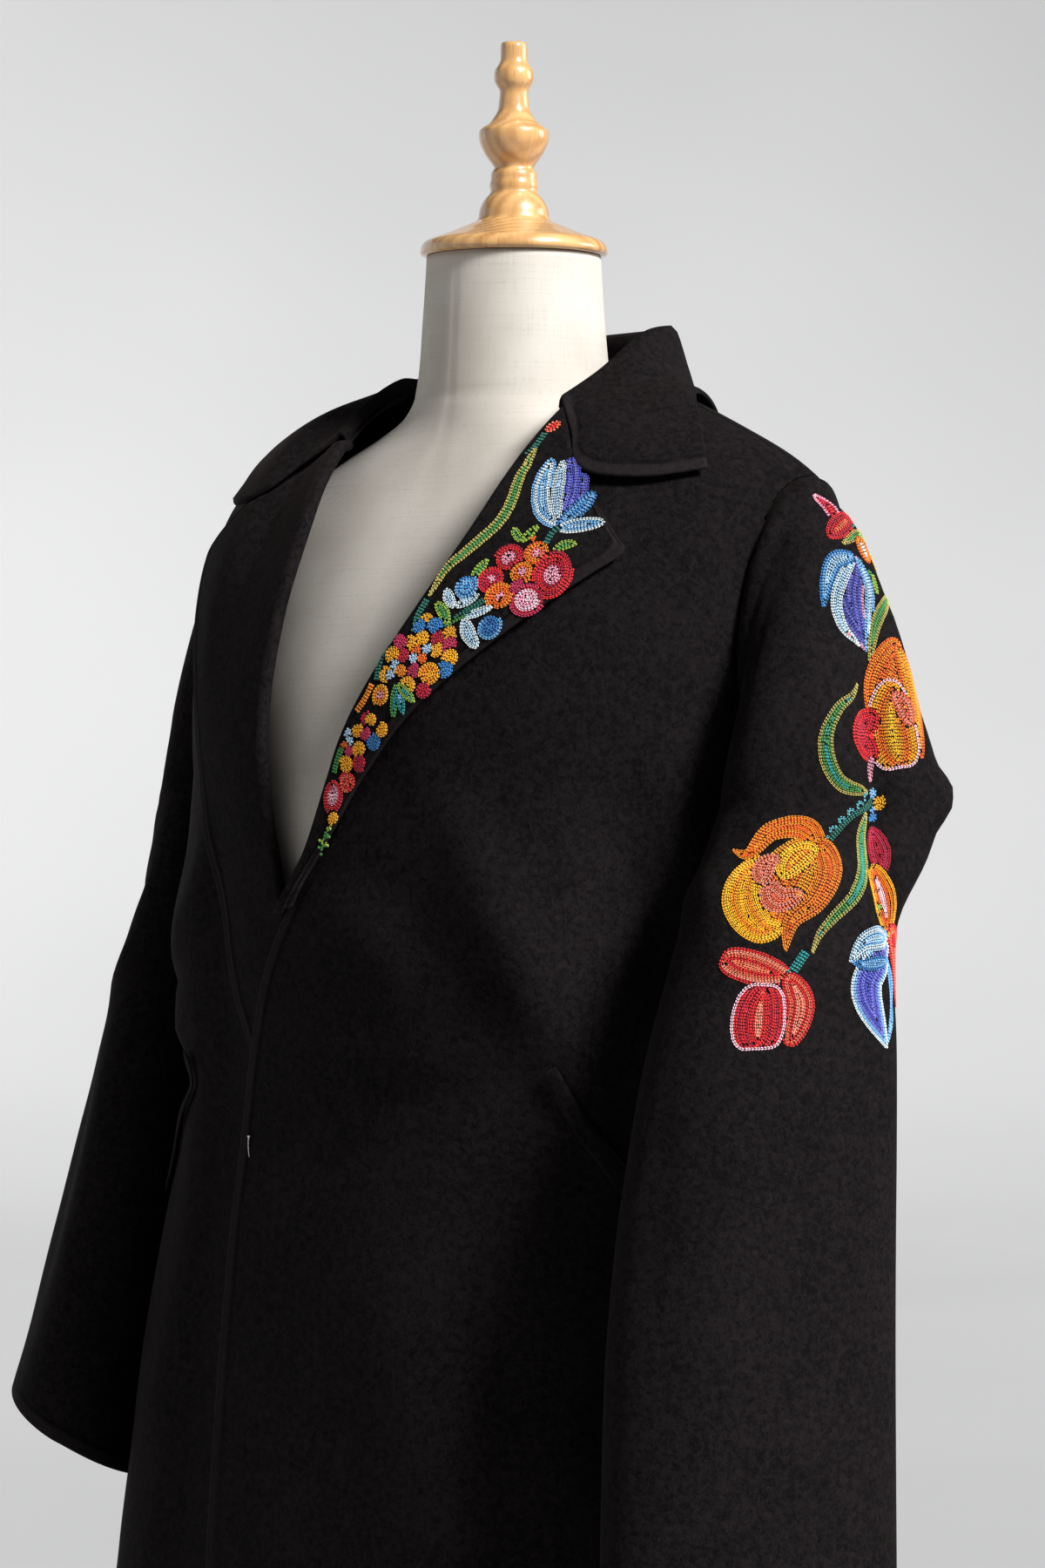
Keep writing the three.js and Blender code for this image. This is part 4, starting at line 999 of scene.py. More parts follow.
# ---- The blazer ----
cloth("left_front_cloth", "front_left", front_grid(1, LEFT_EDGE, no_sink, 7), CLOTH,
      ridged="first bottom")
cloth("right_front_cloth", "front_right", front_grid(-1, RIGHT_EDGE, underlap, 7), CLOTH,
      ridged="last bottom")
cloth("back_cloth", "back", back_grid(8), CLOTH,
      ridged="bottom")
cloth("left_lapel_cloth", "lapel_left", lapel_grid(LEFT_EDGE, LEFT_LAPEL, 1, no_sink, 3.4), CLOTH,
      ridged="last bottom")
cloth("right_lapel_cloth", "lapel_right", lapel_grid(RIGHT_EDGE, RIGHT_LAPEL, -1, underlap, 3.4), CLOTH,
      ridged="first bottom")
cloth("collar_cloth", "collar", collar_grid(4.2), COLLAR_CLOTH,
      ridged="top")
cloth("left_sleeve_cloth", "sleeve_left", sleeve_grid(LEFT_SLEEVE, 1, True, 132, 7), CLOTH,
      closed=True, ridged="top")
cloth("right_sleeve_cloth", "sleeve_right", sleeve_grid(RIGHT_SLEEVE, -1, False, 132, 7), CLOTH,
      closed=True, ridged="top")


def welt(side):
    """The pocket's narrow welt: a strip that follows the curved mouth, slanting in and down from it."""
    along = np.linspace(0, 3, 40)
    part = np.array([0, 0.08, 0.25, 0.5, 0.75, 0.92, 1])[:, None]
    inset = part * WELT_WIDTH * 0.7
    across, height = (read(POCKET, "along", along, name) - inset for name in ("across", "height"))
    grid = on_body(*front_place(side * across, height), (CLOTH + WELT_CLOTH) / 2 + CLEARANCE)
    grid = grid if side > 0 else grid[:, ::-1]
    return grid[::-1]


for side, word in ((1, "left"), (-1, "right")):
    cloth(f"{word}_welt_cloth", f"pocket_welt_{word}", welt(side), WELT_CLOTH)


# ---- The dress form ----
FORM = table(
    "height side front back",
    (700, 178, 128, 112), (706, 184, 133, 117), (800, 187, 136, 122), (880, 176, 130, 112),
    (975, 156, 124, 92),
    (1060, 172, 142, 102), (1130, 184, 149, 110), (1200, 188, 140, 112), (1260, 188, 118, 106),
    (1310, 178, 94, 92),
    (1340, 152, 78, 78), (1358, 122, 69, 70), (1370, 94, 64, 66), (1382, 70, 61, 63), (1400, 60, 58, 60),
    (1440, 55.5, 55.5, 55.5), (1479.7, 53, 53, 53),
)


def closed_lathe(rings):
    """Faces of a stack of rings, closed at both ends by fans of quads that share a middle point."""
    rows, columns = rings.shape[:2]
    points = np.concatenate([rings.reshape(-1, 3), rings[:1].mean(1), rings[-1:].mean(1)])
    low, high = rows * columns, rows * columns + 1
    j = np.arange(0, columns, 2)
    below = np.stack([j, np.full_like(j, low), (j + 2) % columns, (j + 1) % columns], 1)
    top = (rows - 1) * columns
    above = np.stack([top + j, top + (j + 1) % columns, top + (j + 2) % columns, np.full_like(j, high)], 1)
    return points, np.concatenate([quads(rows, columns, closed=True), below, above])


def tube(points, radii, around=12):
    """A round rod along points, closed at its two ends."""
    along = unit(np.gradient(points, axis=0))
    side = unit(np.cross(along, [0.3, 0.2, 0.9]))
    turn = np.arange(around) / around * 2 * np.pi
    cosine, sine = np.cos(turn)[None, :, None], np.sin(turn)[None, :, None]
    ring = cosine * side[:, None] + sine * np.cross(along, side)[:, None]
    return closed_lathe(points[:, None] + ring * np.asarray(radii)[:, None, None])


def form_shape(columns=144, rows=190):
    """The padded form: flattened rings up to the neck, with seams sunk at the neck, centre front and back."""
    heights = np.concatenate([[700, 701.5], np.linspace(704, 1479.7, rows)])
    angle = (np.arange(columns) / columns * 2 * np.pi)[None, :]
    value = lambda name: read(FORM, "height", heights, name)[:, None]
    power = 2 / mix(FULLNESS, 2, ramp(1300, 1385, heights))[:, None]
    sine, cosine = np.sin(angle), np.cos(angle)
    depth = np.where(cosine > 0, value("front"), value("back"))
    seam = 1388 + 6 * cosine
    sunk = -1.1 * bell(heights[:, None], seam, 2.6) * np.ones_like(angle)
    centre_seam = -0.7 * bell(np.abs(((angle + QUARTER) % np.pi) - QUARTER) * 100, 0, 2.2)
    swell = 1 + (sunk + centre_seam) / 110
    x = value("side") * signed_power(sine, power) * swell
    y = -depth * signed_power(cosine, power) * swell
    return closed_lathe(np.stack([x, y, np.broadcast_to(heights[:, None], x.shape)], -1))


finish_piece(make_mesh("linen_form", *form_shape()), linen_look(), "form_body")


def turned_shape(profile, columns, step=1.6):
    """A turned solid from a profile of radius and height, a step between its points and its corners round."""
    pieces = []
    for a, b in zip(profile[:-1], profile[1:]):
        count = max(int(np.hypot(*(b - a)) / step), 1)
        pieces.append(a + (b - a) * np.linspace(0, 1, count, endpoint=False)[:, None])
    profile = np.concatenate(pieces + [profile[-1:]])[1:-1]
    for _ in range(2):
        profile[1:-1] = profile[1:-1] / 2 + (profile[:-2] + profile[2:]) / 4
    angle = np.arange(columns) / columns * 2 * np.pi
    rings = np.stack([profile[:, :1] * np.sin(angle), -profile[:, :1] * np.cos(angle),
                      np.broadcast_to(profile[:, 1:], (len(profile), columns))], -1)
    return closed_lathe(rings)


CAP_PROFILE = np.array([
    (0, 1480), (56, 1480), (58.1, 1481.2), (57.6, 1483.4), (55.2, 1488.6), (39, 1494.6), (23.3, 1501.2),
    (21.6, 1501.8), (21.3, 1508), (18.3, 1514.5), (13.2, 1519.8), (15.1, 1521), (15.1, 1525.4),
    (13.2, 1526.4),
    (14.3, 1527.4), (14.3, 1531.6), (11.2, 1533.3), (13.2, 1536.2), (17.9, 1542.3), (21.3, 1550),
    (21.6, 1557),
    (14.8, 1561), (9.6, 1568.7), (8.4, 1581.4), (12.1, 1586), (12.1, 1593.4), (8.2, 1598),
    (8.1, 1610.6), (0, 1610.6),
])
POLE_PROFILE = np.array([(0, 52.3), (15.4, 52.3), (16, 52.9), (16, 699.1), (15.4, 699.7), (0, 699.7)])
BASE_PROFILE = np.array([
    (0, 0), (190, 0), (193.5, 1.5), (195, 5), (195, 16), (192.5, 20), (188, 22), (150, 28), (60, 33),
    (34, 38),
    (31, 44), (30, 51), (29, 52), (0, 52),
])


WOOD = wood_look()
for name, node, profile, columns in (
    ("turned_cap", "neck_cap", CAP_PROFILE, 128),
    ("round_pole", "stand_pole", POLE_PROFILE, 40),
    ("round_base", "stand_base", BASE_PROFILE, 96),
):
    finish_piece(make_mesh(name, *turned_shape(profile, columns)), WOOD, node)


# ---- The pin that holds the front closed ----
def steel_look():
    """Bright drawn steel with fine lengthwise scratches."""
    look = Look("pin_steel", Metallic=1.0)
    scratch = look.noise(look.place((1, 1, 0.05)), 5000, 2)
    look.feed(Base_Color=look.blend(scratch, (0.62, 0.62, 0.61), (0.80, 0.80, 0.79)),
              Roughness=look.fit(scratch, 0.3, 0.7, 0.18, 0.32))
    return look.material


def pin_shape(across=-70.5, height=951, length=13, shaft=0.42, head=0.75):
    """The pin: a shaft bowed on the front that tapers to a point and swells to a head near its start."""
    part = np.linspace(0, 1, 40)
    out = CLOTH / 2 + 0.75 + 0.5 * np.sin(np.pi * part)
    line = on_body(*front_place(across + 1.2 * part, height - length * part), out)
    radii = shaft * np.sqrt(np.clip(1 - part, 0.0004, 1)) ** 0.5 + head * bell(part, 0.05, 0.045)
    radii[0] = 0.05
    return tube(line, radii)


finish_piece(make_mesh("closure_pin", *pin_shape()), steel_look())


# ---- Chain-stitch embroidery ----
LINK = 1.75
ROW = 1.9
WAVE = 7.5
CELL = 0.5
BOARD = 1200
OWN_ROOM = 1.15
ROOM = 1.3
MOST_TRIANGLES = 190000
STRANDS_UP = 0.18
THREADS = {
    "gold": "ffb31c", "amber": "fa9216", "orange": "f26d12", "yellow": "ffcb3a", "salmon": "f0785a",
    "coral": "f99c84", "red": "e32a2e", "crimson": "c01436", "rose": "cf3b62", "pink": "f2a8bd",
    "blush": "fbcfdc", "blue": "4388c8", "sky": "82b8e6", "frost": "b3d2ea", "pale": "d9e6ea",
    "violet": "4c52b4", "lilac": "7778d2", "deep": "2f68b0", "teal": "2a9494", "aqua": "66b9c8",
    "forest": "237062", "green": "4c944a", "lime": "9dbb4c", "olive": "b9ac5c",
}


def linear(code):
    """Linear colour of six hexadecimal digits."""
    part = np.array([int(code[k:k + 2], 16) for k in (0, 2, 4)]) / 255
    return np.where(part > 0.04045, ((part + 0.055) / 1.055) ** 2.4, part / 12.92)


COLOURS = {name: linear(code) for name, code in THREADS.items()}


def smooth_line(places, count=160):
    """A smooth line through a few flat places, with its unit side vectors."""
    places = np.array(places, float)
    line = spline(places, np.linspace(0, 1, count)) if len(places) > 1 else places
    along = unit(np.gradient(line, axis=0))
    return line, np.stack([-along[:, 1], along[:, 0]], 1)


def nth(colours, k):
    """The thread of a row; the last one goes on for the rows past it."""
    return colours[min(k, len(colours) - 1)]


def blade_rows(places, width, colours, start=0.5, end=0.5):
    """A petal or leaf: rows that follow its edges in to the spine, then rows that fill the gaps between."""
    line, side = smooth_line(places)
    t = np.linspace(0, 1, len(line))
    shape = t**start * (1 - t) ** end
    half = width * shape / shape.max()
    rows = []
    for k in range(int(width / ROW) + 1):
        inset = (k + 0.5) * ROW
        colour = nth(colours, k)
        inside = np.flatnonzero(half >= inset)
        if len(inside) == 0 and (k + 0.1) * ROW < width:
            rows.append((line[half >= k * ROW], colour))
        if len(inside) < 3:
            continue
        offset = (half[inside] - inset)[:, None]
        left = line[inside] + side[inside] * offset
        right = line[inside] - side[inside] * offset
        rows.append((np.concatenate([left, right[::-1], left[:1]]), colour))
    for k, colour in enumerate(colours[:int(width / ROW) + 1]):
        inside = np.flatnonzero(half >= (k + 1) * ROW)
        offset = (half[inside] - (k + 1) * ROW)[:, None]
        rows += [(line[inside] + turn * side[inside] * offset, colour) for turn in (1, -1) if len(inside) > 2]
    rows.append((line[half >= ROW * 0.6], nth(colours, int(width / ROW))))
    return rows


def coil_rows(centre, radius, colours, tall=1.0):
    """A dot: one row wound from its rim to its middle, changing thread on the way."""
    turns = max(radius / ROW, 0.75)
    t = np.linspace(0, 1, int(turns * 60) + 20)
    out = (radius - ROW / 2) * (1 - t)
    angle = 2 * np.pi * turns * t + centre[0]
    line = np.array(centre, float) + np.stack([np.cos(angle), np.sin(angle) * tall], 1) * out[:, None]
    cuts = np.linspace(0, 1, len(colours) + 1) ** 1.25
    return [(line[(t >= a) & (t <= b)], colour) for a, b, colour in zip(cuts, cuts[1:], colours)]


def line_rows(places, count, colours):
    """A stem: parallel rows side by side."""
    line, side = smooth_line(places)
    offsets = [k - (count - 1) / 2 for k in range(count)]
    return [(line + side * offset * ROW, nth(colours, k)) for k, offset in enumerate(offsets)]


def wave_rows(places, swing, colours):
    """One row that swings from side to side along a line."""
    line, side = smooth_line(places, 400)
    swung = swing * np.sin(lengths_along(line) * 2 * np.pi / WAVE)
    return [(line + side * swung[:, None], colours[0])]


MAKERS = {"blade": blade_rows, "coil": coil_rows, "line": line_rows, "wave": wave_rows}


def links_of(row, rng):
    """Middle places and directions of the chain's links along a row."""
    run = lengths_along(row)
    count = int(run[-1] / LINK)
    if count < 1:
        return np.empty((0, 2)), np.empty((0, 2))
    at = (np.arange(count) + 0.5) * run[-1] / count
    place, ahead, behind = (
        np.stack([np.interp(at + shift, run, row[:, k]) for k in (0, 1)], 1) for shift in (0, 0.4, -0.4)
    )
    return place + rng.normal(0, 0.07, place.shape), unit(ahead - behind)


def cells_of(places):
    """Row and column on the board of each flat place."""
    return tuple((np.round(places / CELL).astype(int) + BOARD // 2).T)


def mark(board, places, radius):
    """Takes up the board's cells within a radius of each place."""
    across, down = cells_of(places)
    near = np.arange(-4, 5)
    for dy, dx in ((dy, dx) for dy in near for dx in near if np.hypot(dx, dy) * CELL <= radius):
        board[across + dx, down + dy] = True


def stitch(motifs, seed):
    """All links of a list of motifs. The last one lies on top: the thread under it is left out."""
    rng = np.random.default_rng(seed)
    taken = np.zeros((2 * BOARD, 2 * BOARD), bool)
    found = []
    for kind, places, size, words, *rest in reversed(motifs):
        rows = MAKERS[kind](places, size, words.split(), *rest)
        shade = rng.normal(0, 0.05)
        own, kept = np.zeros_like(taken), []
        for row, name in rows:
            place, ahead = links_of(row, rng)
            free = ~taken[cells_of(place)] & ~own[cells_of(place)]
            place, ahead = place[free], ahead[free]
            if len(place) == 0:
                continue
            tone = 1 + shade + rng.normal(0, 0.05) + rng.normal(0, 0.06, len(place))
            kept.append((place, ahead, COLOURS[name] * np.clip(tone, 0.7, 1.3)[:, None]))
            mark(own, place, OWN_ROOM)
        for place, ahead, colour in kept:
            mark(taken, place, ROOM)
            found.append((place, ahead, colour))
    return [np.concatenate(column) for column in zip(*found)]


def strand(side, rings=((-0.62, 0.26), (-0.2, 0.42), (0.32, 0.36)), around=5):
    """One plump strand of a link: a spindle that leans to the row's middle, as (along, across, up)."""
    turn = np.arange(around) / around * 2 * np.pi
    points = [(-1.02, 0.30, 0.0)]
    for along, thick in rings:
        across = 0.52 - 0.16 * along
        points += [(along, across + thick * np.cos(a), 0.12 + thick * 1.05 * np.sin(a)) for a in turn]
    points.append((0.98, 0.10, 0.05))
    points = np.array(points) * [1, side, 1]
    faces = []
    for j in range(around):
        k = (j + 1) % around
        faces.append((0, 1 + k, 1 + j))
        for r in range(len(rings) - 1):
            a, b = 1 + r * around, 1 + (r + 1) * around
            faces += [(a + j, a + k, b + k), (a + j, b + k, b + j)]
        last = 1 + (len(rings) - 1) * around
        faces.append((last + j, last + k, len(points) - 1))
    faces = np.array(faces)
    return points, faces if side < 0 else faces[:, ::-1]


def embroider(name, sheet, motifs, seed):
    """Thread pieces: every link is two strands set on the cloth along the row."""
    place, ahead, colour = stitch(motifs, seed)
    spot, normal = lay(sheet, place)
    tip, _ = lay(sheet, place + ahead * 0.5)
    along = unit(tip - spot)
    across = np.cross(normal, along)
    (one, one_faces), (other, other_faces) = strand(-1), strand(1)
    template = np.concatenate([one, other])
    faces = np.concatenate([one_faces, other_faces + len(one)])
    most = MOST_TRIANGLES // len(faces)
    for part, start in enumerate(range(0, len(place), most)):
        rows = slice(start, start + most)
        count = len(place[rows])
        points = (spot[rows, None] + template[None, :, :1] * along[rows, None]
                  + template[None, :, 1:2] * across[rows, None]
                  + (template[None, :, 2:] + STRANDS_UP) * normal[rows, None])
        shade = np.repeat(np.concatenate([colour[rows], np.ones((count, 1))], 1), len(template), 0)
        index = (faces[None] + (np.arange(count) * len(template))[:, None, None]).reshape(-1, 3)
        made = make_mesh(f"{name}_{part + 1}", points, index, thread=shade)
        finish_piece(made, THREAD)


def thread_look():
    """Lustrous rayon-and-cotton floss: colour from the stitches, a fine twist and a soft sheen."""
    look = Look("embroidery_thread", Specular_IOR_Level=0.4, Sheen_Weight=0.2, Sheen_Roughness=0.4)
    dye = look.attribute("thread", "Color")
    place = look.place()
    fuzz = look.noise(place, 900, 2, 0.6)
    twist = look.noise(look.place((1, 1, 2)), 2400, 1, 0.5, 1.0)
    dark = look.node("ShaderNodeHueSaturation", Color=dye, Value=0.84, Saturation=1.1).outputs[0]
    lit = look.fit(fuzz * 0.5 + twist * 0.5, 0.36, 0.62)
    look.feed(Base_Color=look.blend(lit, Socket(look, dark), dye),
              Roughness=look.fit(twist, 0.3, 0.7, 0.42, 0.62))
    look.feed(Normal=look.bump(twist, 0.35, 0.00025))
    return look.material


THREAD = thread_look()

# Each motif: its kind; its middle line or middle, in millimetres across and down the cloth; its half width,
# radius, number of rows or swing; its threads from the rim inwards; and where they aren't the usual ones, the
# tapers of a blade's start and end, or a coil's height as a part of its width.
LAPEL_MOTIFS = [
    ("blade", [(107, 15), (113, 9)], 3.6, "salmon red"),
    ("line", [(107, 16), (105, 24), (101, 31)], 2, "forest"),
    ("blade", [(105, 26), (104, 36), (102, 46), (102, 56), (101, 66), (97, 75), (91, 82), (81, 92),
     (73, 100), (68, 110), (64, 119)], 3.7, "olive green teal", 0.35, 0.5),
    ("line", [(64, 119), (60, 127), (58, 138)], 2, "forest"),
    ("line", [(42, 146), (38, 154), (36, 166)], 2, "forest"),
    ("blade", [(134, 76), (140, 58), (140, 44)], 6.2, "violet lilac violet lilac", 0.35, 0.35),
    ("blade", [(134, 76), (135, 57), (130, 34)], 6.6, "violet lilac violet lilac", 0.35, 0.3),
    ("blade", [(135, 77), (124, 67), (118, 51), (118, 34)], 6.4, "sky pale sky frost", 0.45, 0.4),
    ("blade", [(134, 76), (129, 58), (125, 35)], 3.9, "pale frost pale", 0.45, 0.4),
    ("blade", [(134, 76), (144, 66), (150, 56)], 5.2, "blue sky blue", 0.45, 0.35),
    ("blade", [(135, 78), (147, 76), (161, 74)], 4.6, "pale sky frost", 0.4, 0.45),
    ("line", [(135, 77), (132, 81), (130, 87)], 2, "forest"),
    ("blade", [(116, 86), (111, 81), (108, 77)], 2.7, "lime green"),
    ("blade", [(115, 86), (119, 81), (123, 76)], 2.9, "lime green"),
    ("blade", [(135, 93), (141, 88), (148, 87)], 3.2, "lime green teal"),
    ("coil", (122, 84), 2.5, "orange"),
    ("coil", (110, 95), 9.8, "crimson red crimson pink pink", 0.86),
    ("coil", (126, 92), 8.4, "orange amber salmon pink", 0.9),
    ("coil", (138, 105), 12.7, "red crimson red crimson pink pink", 1.25),
    ("coil", (102, 108), 8.9, "red crimson crimson pink", 0.95),
    ("coil", (120, 104), 7.7, "amber orange pink", 0.95),
    ("coil", (126, 120), 11.6, "rose crimson blush pink blush", 0.9),
    ("coil", (109, 118), 9.3, "amber orange orange pink", 0.95),
    ("coil", (118, 112), 5.0, "rose"),
    ("blade", [(90, 108), (93, 102), (97, 96)], 3.2, "lime green teal"),
    ("blade", [(82, 124), (78, 119), (75, 113)], 3.6, "pale frost"),
    ("blade", [(83, 124), (90, 120), (96, 117)], 3.2, "pale frost"),
    ("coil", (87, 112), 8.0, "sky blue sky blue"),
    ("blade", [(89, 131), (94, 140), (100, 148)], 4.6, "pale frost"),
    ("blade", [(88, 130), (96, 128), (106, 124)], 2.8, "pale frost"),
    ("coil", (106, 136), 8.2, "sky blue deep blue"),
    ("line", [(78, 136), (88, 128), (100, 120)], 2, "forest"),
    ("line", [(79, 135), (86, 131), (91, 129)], 1, "green"),
    ("blade", [(80, 134), (76, 127), (70, 121)], 3.6, "lime green teal"),
    ("coil", (66, 132), 5.3, "gold"),
    ("coil", (61, 135), 4.9, "blue"),
    ("coil", (72, 135), 5.8, "blue"),
    ("coil", (82, 139), 5.3, "gold"),
    ("coil", (74, 142), 5.1, "crimson"),
    ("coil", (65, 142), 5.3, "gold"),
    ("coil", (57, 144), 5.3, "gold"),
    ("coil", (50, 143), 5.3, "rose"),
    ("coil", (83, 146), 5.6, "rose"),
    ("coil", (74, 149), 5.1, "gold"),
    ("coil", (68, 148), 3.8, "frost"),
    ("coil", (61, 149), 4.1, "orange"),
    ("coil", (66, 154), 3.9, "orange"),
    ("coil", (60, 154), 3.7, "frost"),
    ("coil", (53, 152), 5.1, "crimson"),
    ("coil", (46, 151), 5.5, "gold"),
    ("coil", (84, 154), 6.2, "gold"),
    ("coil", (81, 160), 6.1, "blue"),
    ("coil", (48, 158), 4.1, "frost"),
    ("coil", (53, 161), 4.6, "amber"),
    ("coil", (61, 161), 5.3, "rose"),
    ("coil", (72, 163), 7.5, "gold amber gold"),
    ("coil", (42, 163), 5.5, "gold"),
    ("coil", (46, 163), 3.7, "frost"),
    ("coil", (58, 170), 6.8, "gold"),
    ("coil", (69, 172), 5.6, "crimson"),
    ("coil", (30, 188), 4.9, "crimson"),
    ("coil", (34, 189), 4.6, "gold"),
    ("coil", (42, 195), 5.1, "gold"),
    ("coil", (24, 195), 4.9, "gold"),
    ("coil", (17, 197), 3.7, "frost"),
    ("coil", (30, 197), 4.6, "rose"),
    ("coil", (36, 202), 5.8, "blue"),
    ("coil", (18, 201), 3.7, "frost"),
    ("coil", (15, 204), 3.4, "orange"),
    ("coil", (26, 206), 5.8, "gold"),
    ("coil", (18, 207), 3.9, "rose"),
    ("coil", (16, 215), 5.8, "gold"),
    ("coil", (26, 214), 5.8, "crimson"),
    ("line", [(33, 168), (29, 176), (23, 184)], 2, "amber"),
    ("coil", (40, 175), 6.4, "gold amber pink", 1.2),
    ("blade", [(50, 168), (50, 178), (50, 188)], 2.9, "green teal"),
    ("blade", [(51, 168), (54, 177), (57, 186)], 2.9, "teal sky"),
    ("blade", [(51, 168), (58, 174), (64, 179)], 3.0, "lime teal"),
    ("line", [(13, 205), (9, 213), (7, 220)], 2, "green"),
    ("coil", (16, 226), 6.8, "red salmon red salmon", 1.05),
    ("coil", (6, 234), 8.0, "crimson red pink blush", 1.5),
    ("coil", (8, 247), 4.6, "gold"),
    ("line", [(4, 251), (2, 259), (0, 269)], 1, "green"),
    ("blade", [(3, 254), (7, 252)], 1.5, "lime"),
    ("blade", [(3, 257), (6, 258)], 1.5, "green"),
    ("blade", [(2, 261), (-2, 260)], 1.5, "lime"),
    ("blade", [(2, 262), (5, 263)], 1.5, "lime"),
    ("blade", [(2, 265), (-2, 264)], 1.5, "green"),
]
SLEEVE_MOTIFS = [
    ("blade", [(-10, 14), (-4, 24), (-2, 36)], 5.0, "pink crimson red", 1.0, 0.45),
    ("blade", [(-10, 47), (-3, 42), (10, 32)], 7.4, "red crimson red salmon", 0.5, 0.5),
    ("line", [(9, 38), (13, 43)], 2, "forest"),
    ("blade", [(9, 51), (16, 42), (-2, 52)], 3.6, "olive green"),
    ("line", [(10, 60), (6, 66)], 2, "forest"),
    ("line", [(21, 51), (28, 58)], 2, "gold"),
    ("blade", [(10, 46), (14, 52), (17, 60)], 5.6, "orange amber pale", 0.5, 0.5),
    ("blade", [(17, 65), (15, 71), (15, 75)], 2.2, "green"),
    ("blade", [(19, 66), (20, 73), (21, 79)], 2.2, "lime green"),
    ("blade", [(7, 60), (-1, 84), (11, 114)], 11.0, "pink lilac violet lilac violet lilac", 0.32, 0.6),
    ("blade", [(7, 60), (14, 75), (14, 94), (12, 115)], 3.8, "sky frost sky", 0.4, 0.5),
    ("blade", [(6, 60), (-4, 74), (-9, 88), (-5, 103), (8, 114)], 4.0, "pale frost pink", 0.4, 0.6),
    ("blade", [(5, 60), (-8, 63), (-14, 74), (-18, 91)], 6.0, "blue sky frost sky blue", 0.4, 0.8),
    ("blade", [(33, 72), (20, 94), (16, 110), (16, 133)], 3.7, "olive green", 0.5, 1.0),
    ("blade", [(22, 149), (23, 129), (34, 102)], 10.5, "orange amber orange amber orange", 0.4, 0.45),
    ("blade", [(32, 105), (42, 126), (46, 153), (50, 172)], 8.4, "orange amber gold amber", 0.5, 0.8),
    ("blade", [(29, 128), (31, 155), (36, 177)],
     15.5, "blush gold gold amber orange amber gold yellow", 0.45, 0.25),
    ("blade", [(30, 136), (37, 141), (42, 153)], 6.0, "salmon coral salmon", 0.5, 0.5),
    ("blade", [(22, 147), (11, 160), (22, 172)], 9.6, "red crimson red crimson", 0.5, 0.5),
    ("blade", [(20, 171), (18, 178), (18, 187)], 2.2, "pink rose", 0.5, 0.8),
    ("blade", [(8, 129), (2, 140), (-8, 148), (-15, 159), (-16, 169), (-12, 181), (-4, 188),
     (16, 191)], 4.9, "olive green teal aqua", 0.9, 0.6),
    ("coil", (20, 191), 3.6, "sky"),
    ("coil", (21, 204), 3.8, "blue"),
    ("coil", (19, 198), 3.4, "sky"),
    ("coil", (24, 196), 4.6, "gold"),
    ("wave", [(14, 192), (-2, 206), (-13, 224)], 1.9, "aqua"),
    ("line", [(19, 195), (2, 206), (-11, 226)], 2, "forest"),
    ("blade", [(-13, 229), (-13, 247), (-17, 261), (-22, 275)],
     10.0, "amber orange amber orange amber", 0.4, 0.5),
    ("blade", [(-14, 221), (-27, 238), (-31, 258), (-26, 276)],
     15.6, "gold amber gold orange amber orange amber orange amber orange", 0.35, 0.3),
    ("blade", [(-43, 232), (-50, 245), (-48, 261), (-35, 276), (-23, 276)],
     10.6, "gold yellow gold amber gold gold yellow", 0.35, 0.35),
    ("blade", [(-12, 226), (-26, 213), (-42, 215), (-52, 229), (-64, 226)],
     7.4, "amber orange amber orange", 0.4, 0.8),
    ("blade", [(-14, 221), (-3, 242), (-6, 259), (-18, 272), (-19, 291)],
     7.6, "amber orange amber orange", 0.4, 0.75),
    ("blade", [(-14, 227), (-24, 232), (-30, 246)], 9.4, "yellow gold yellow amber gold", 0.45, 0.5),
    ("blade", [(-39, 249), (-41, 238), (-35, 232)], 6.8, "coral salmon coral salmon", 0.45, 0.45),
    ("blade", [(-38, 249), (-28, 259), (-16, 255)], 7.4, "coral salmon coral salmon", 0.45, 0.45),
    ("blade", [(13, 201), (13, 217), (20, 236), (17, 256), (6, 270), (-1, 281), (-4, 297)],
     5.2, "olive green teal aqua", 0.5, 0.9),
    ("line", [(-7, 290), (-14, 303)], 3, "teal"),
    ("blade", [(-14, 305), (-33, 300), (-53, 294)], 9.8, "red coral salmon red salmon coral", 0.45, 0.3),
    ("blade", [(-16, 303), (-6, 321), (-10, 344)], 8.4, "red salmon red coral salmon", 0.4, 0.35),
    ("blade", [(-28, 309), (-29, 326), (-28, 346)],
     15.4, "blush red crimson red crimson red red coral salmon coral", 0.27, 0.2),
    ("blade", [(21, 210), (30, 225), (38, 242)], 6.2, "crimson rose crimson", 0.5, 0.5),
    ("blade", [(28, 235), (41, 255), (57, 282)], 7.4, "gold amber orange blush", 0.4, 0.5),
    ("blade", [(44, 265), (40, 262)], 2.0, "lime"),
    ("line", [(53, 278), (56, 291)], 2, "green"),
    ("blade", [(56, 274), (70, 298), (76, 325)], 6.4, "red salmon red coral", 0.5, 0.7),
    ("blade", [(56, 285), (36, 310), (58, 348)], 12.5, "pale sky lilac violet lilac violet", 0.4, 0.8),
    ("blade", [(57, 294), (64, 315), (58, 347)], 4.0, "sky blue sky", 0.6, 0.9),
    ("blade", [(56, 283), (32, 284), (21, 297)], 7.6, "frost pale sky frost", 0.45, 0.7),
    ("blade", [(22, 297), (35, 298), (56, 296)], 4.2, "blue sky blue", 0.8, 0.6),
]

embroider("lapel_thread", lapel_chart(), LAPEL_MOTIFS, 3)
embroider("sleeve_thread", sleeve_chart(), SLEEVE_MOTIFS, 5)


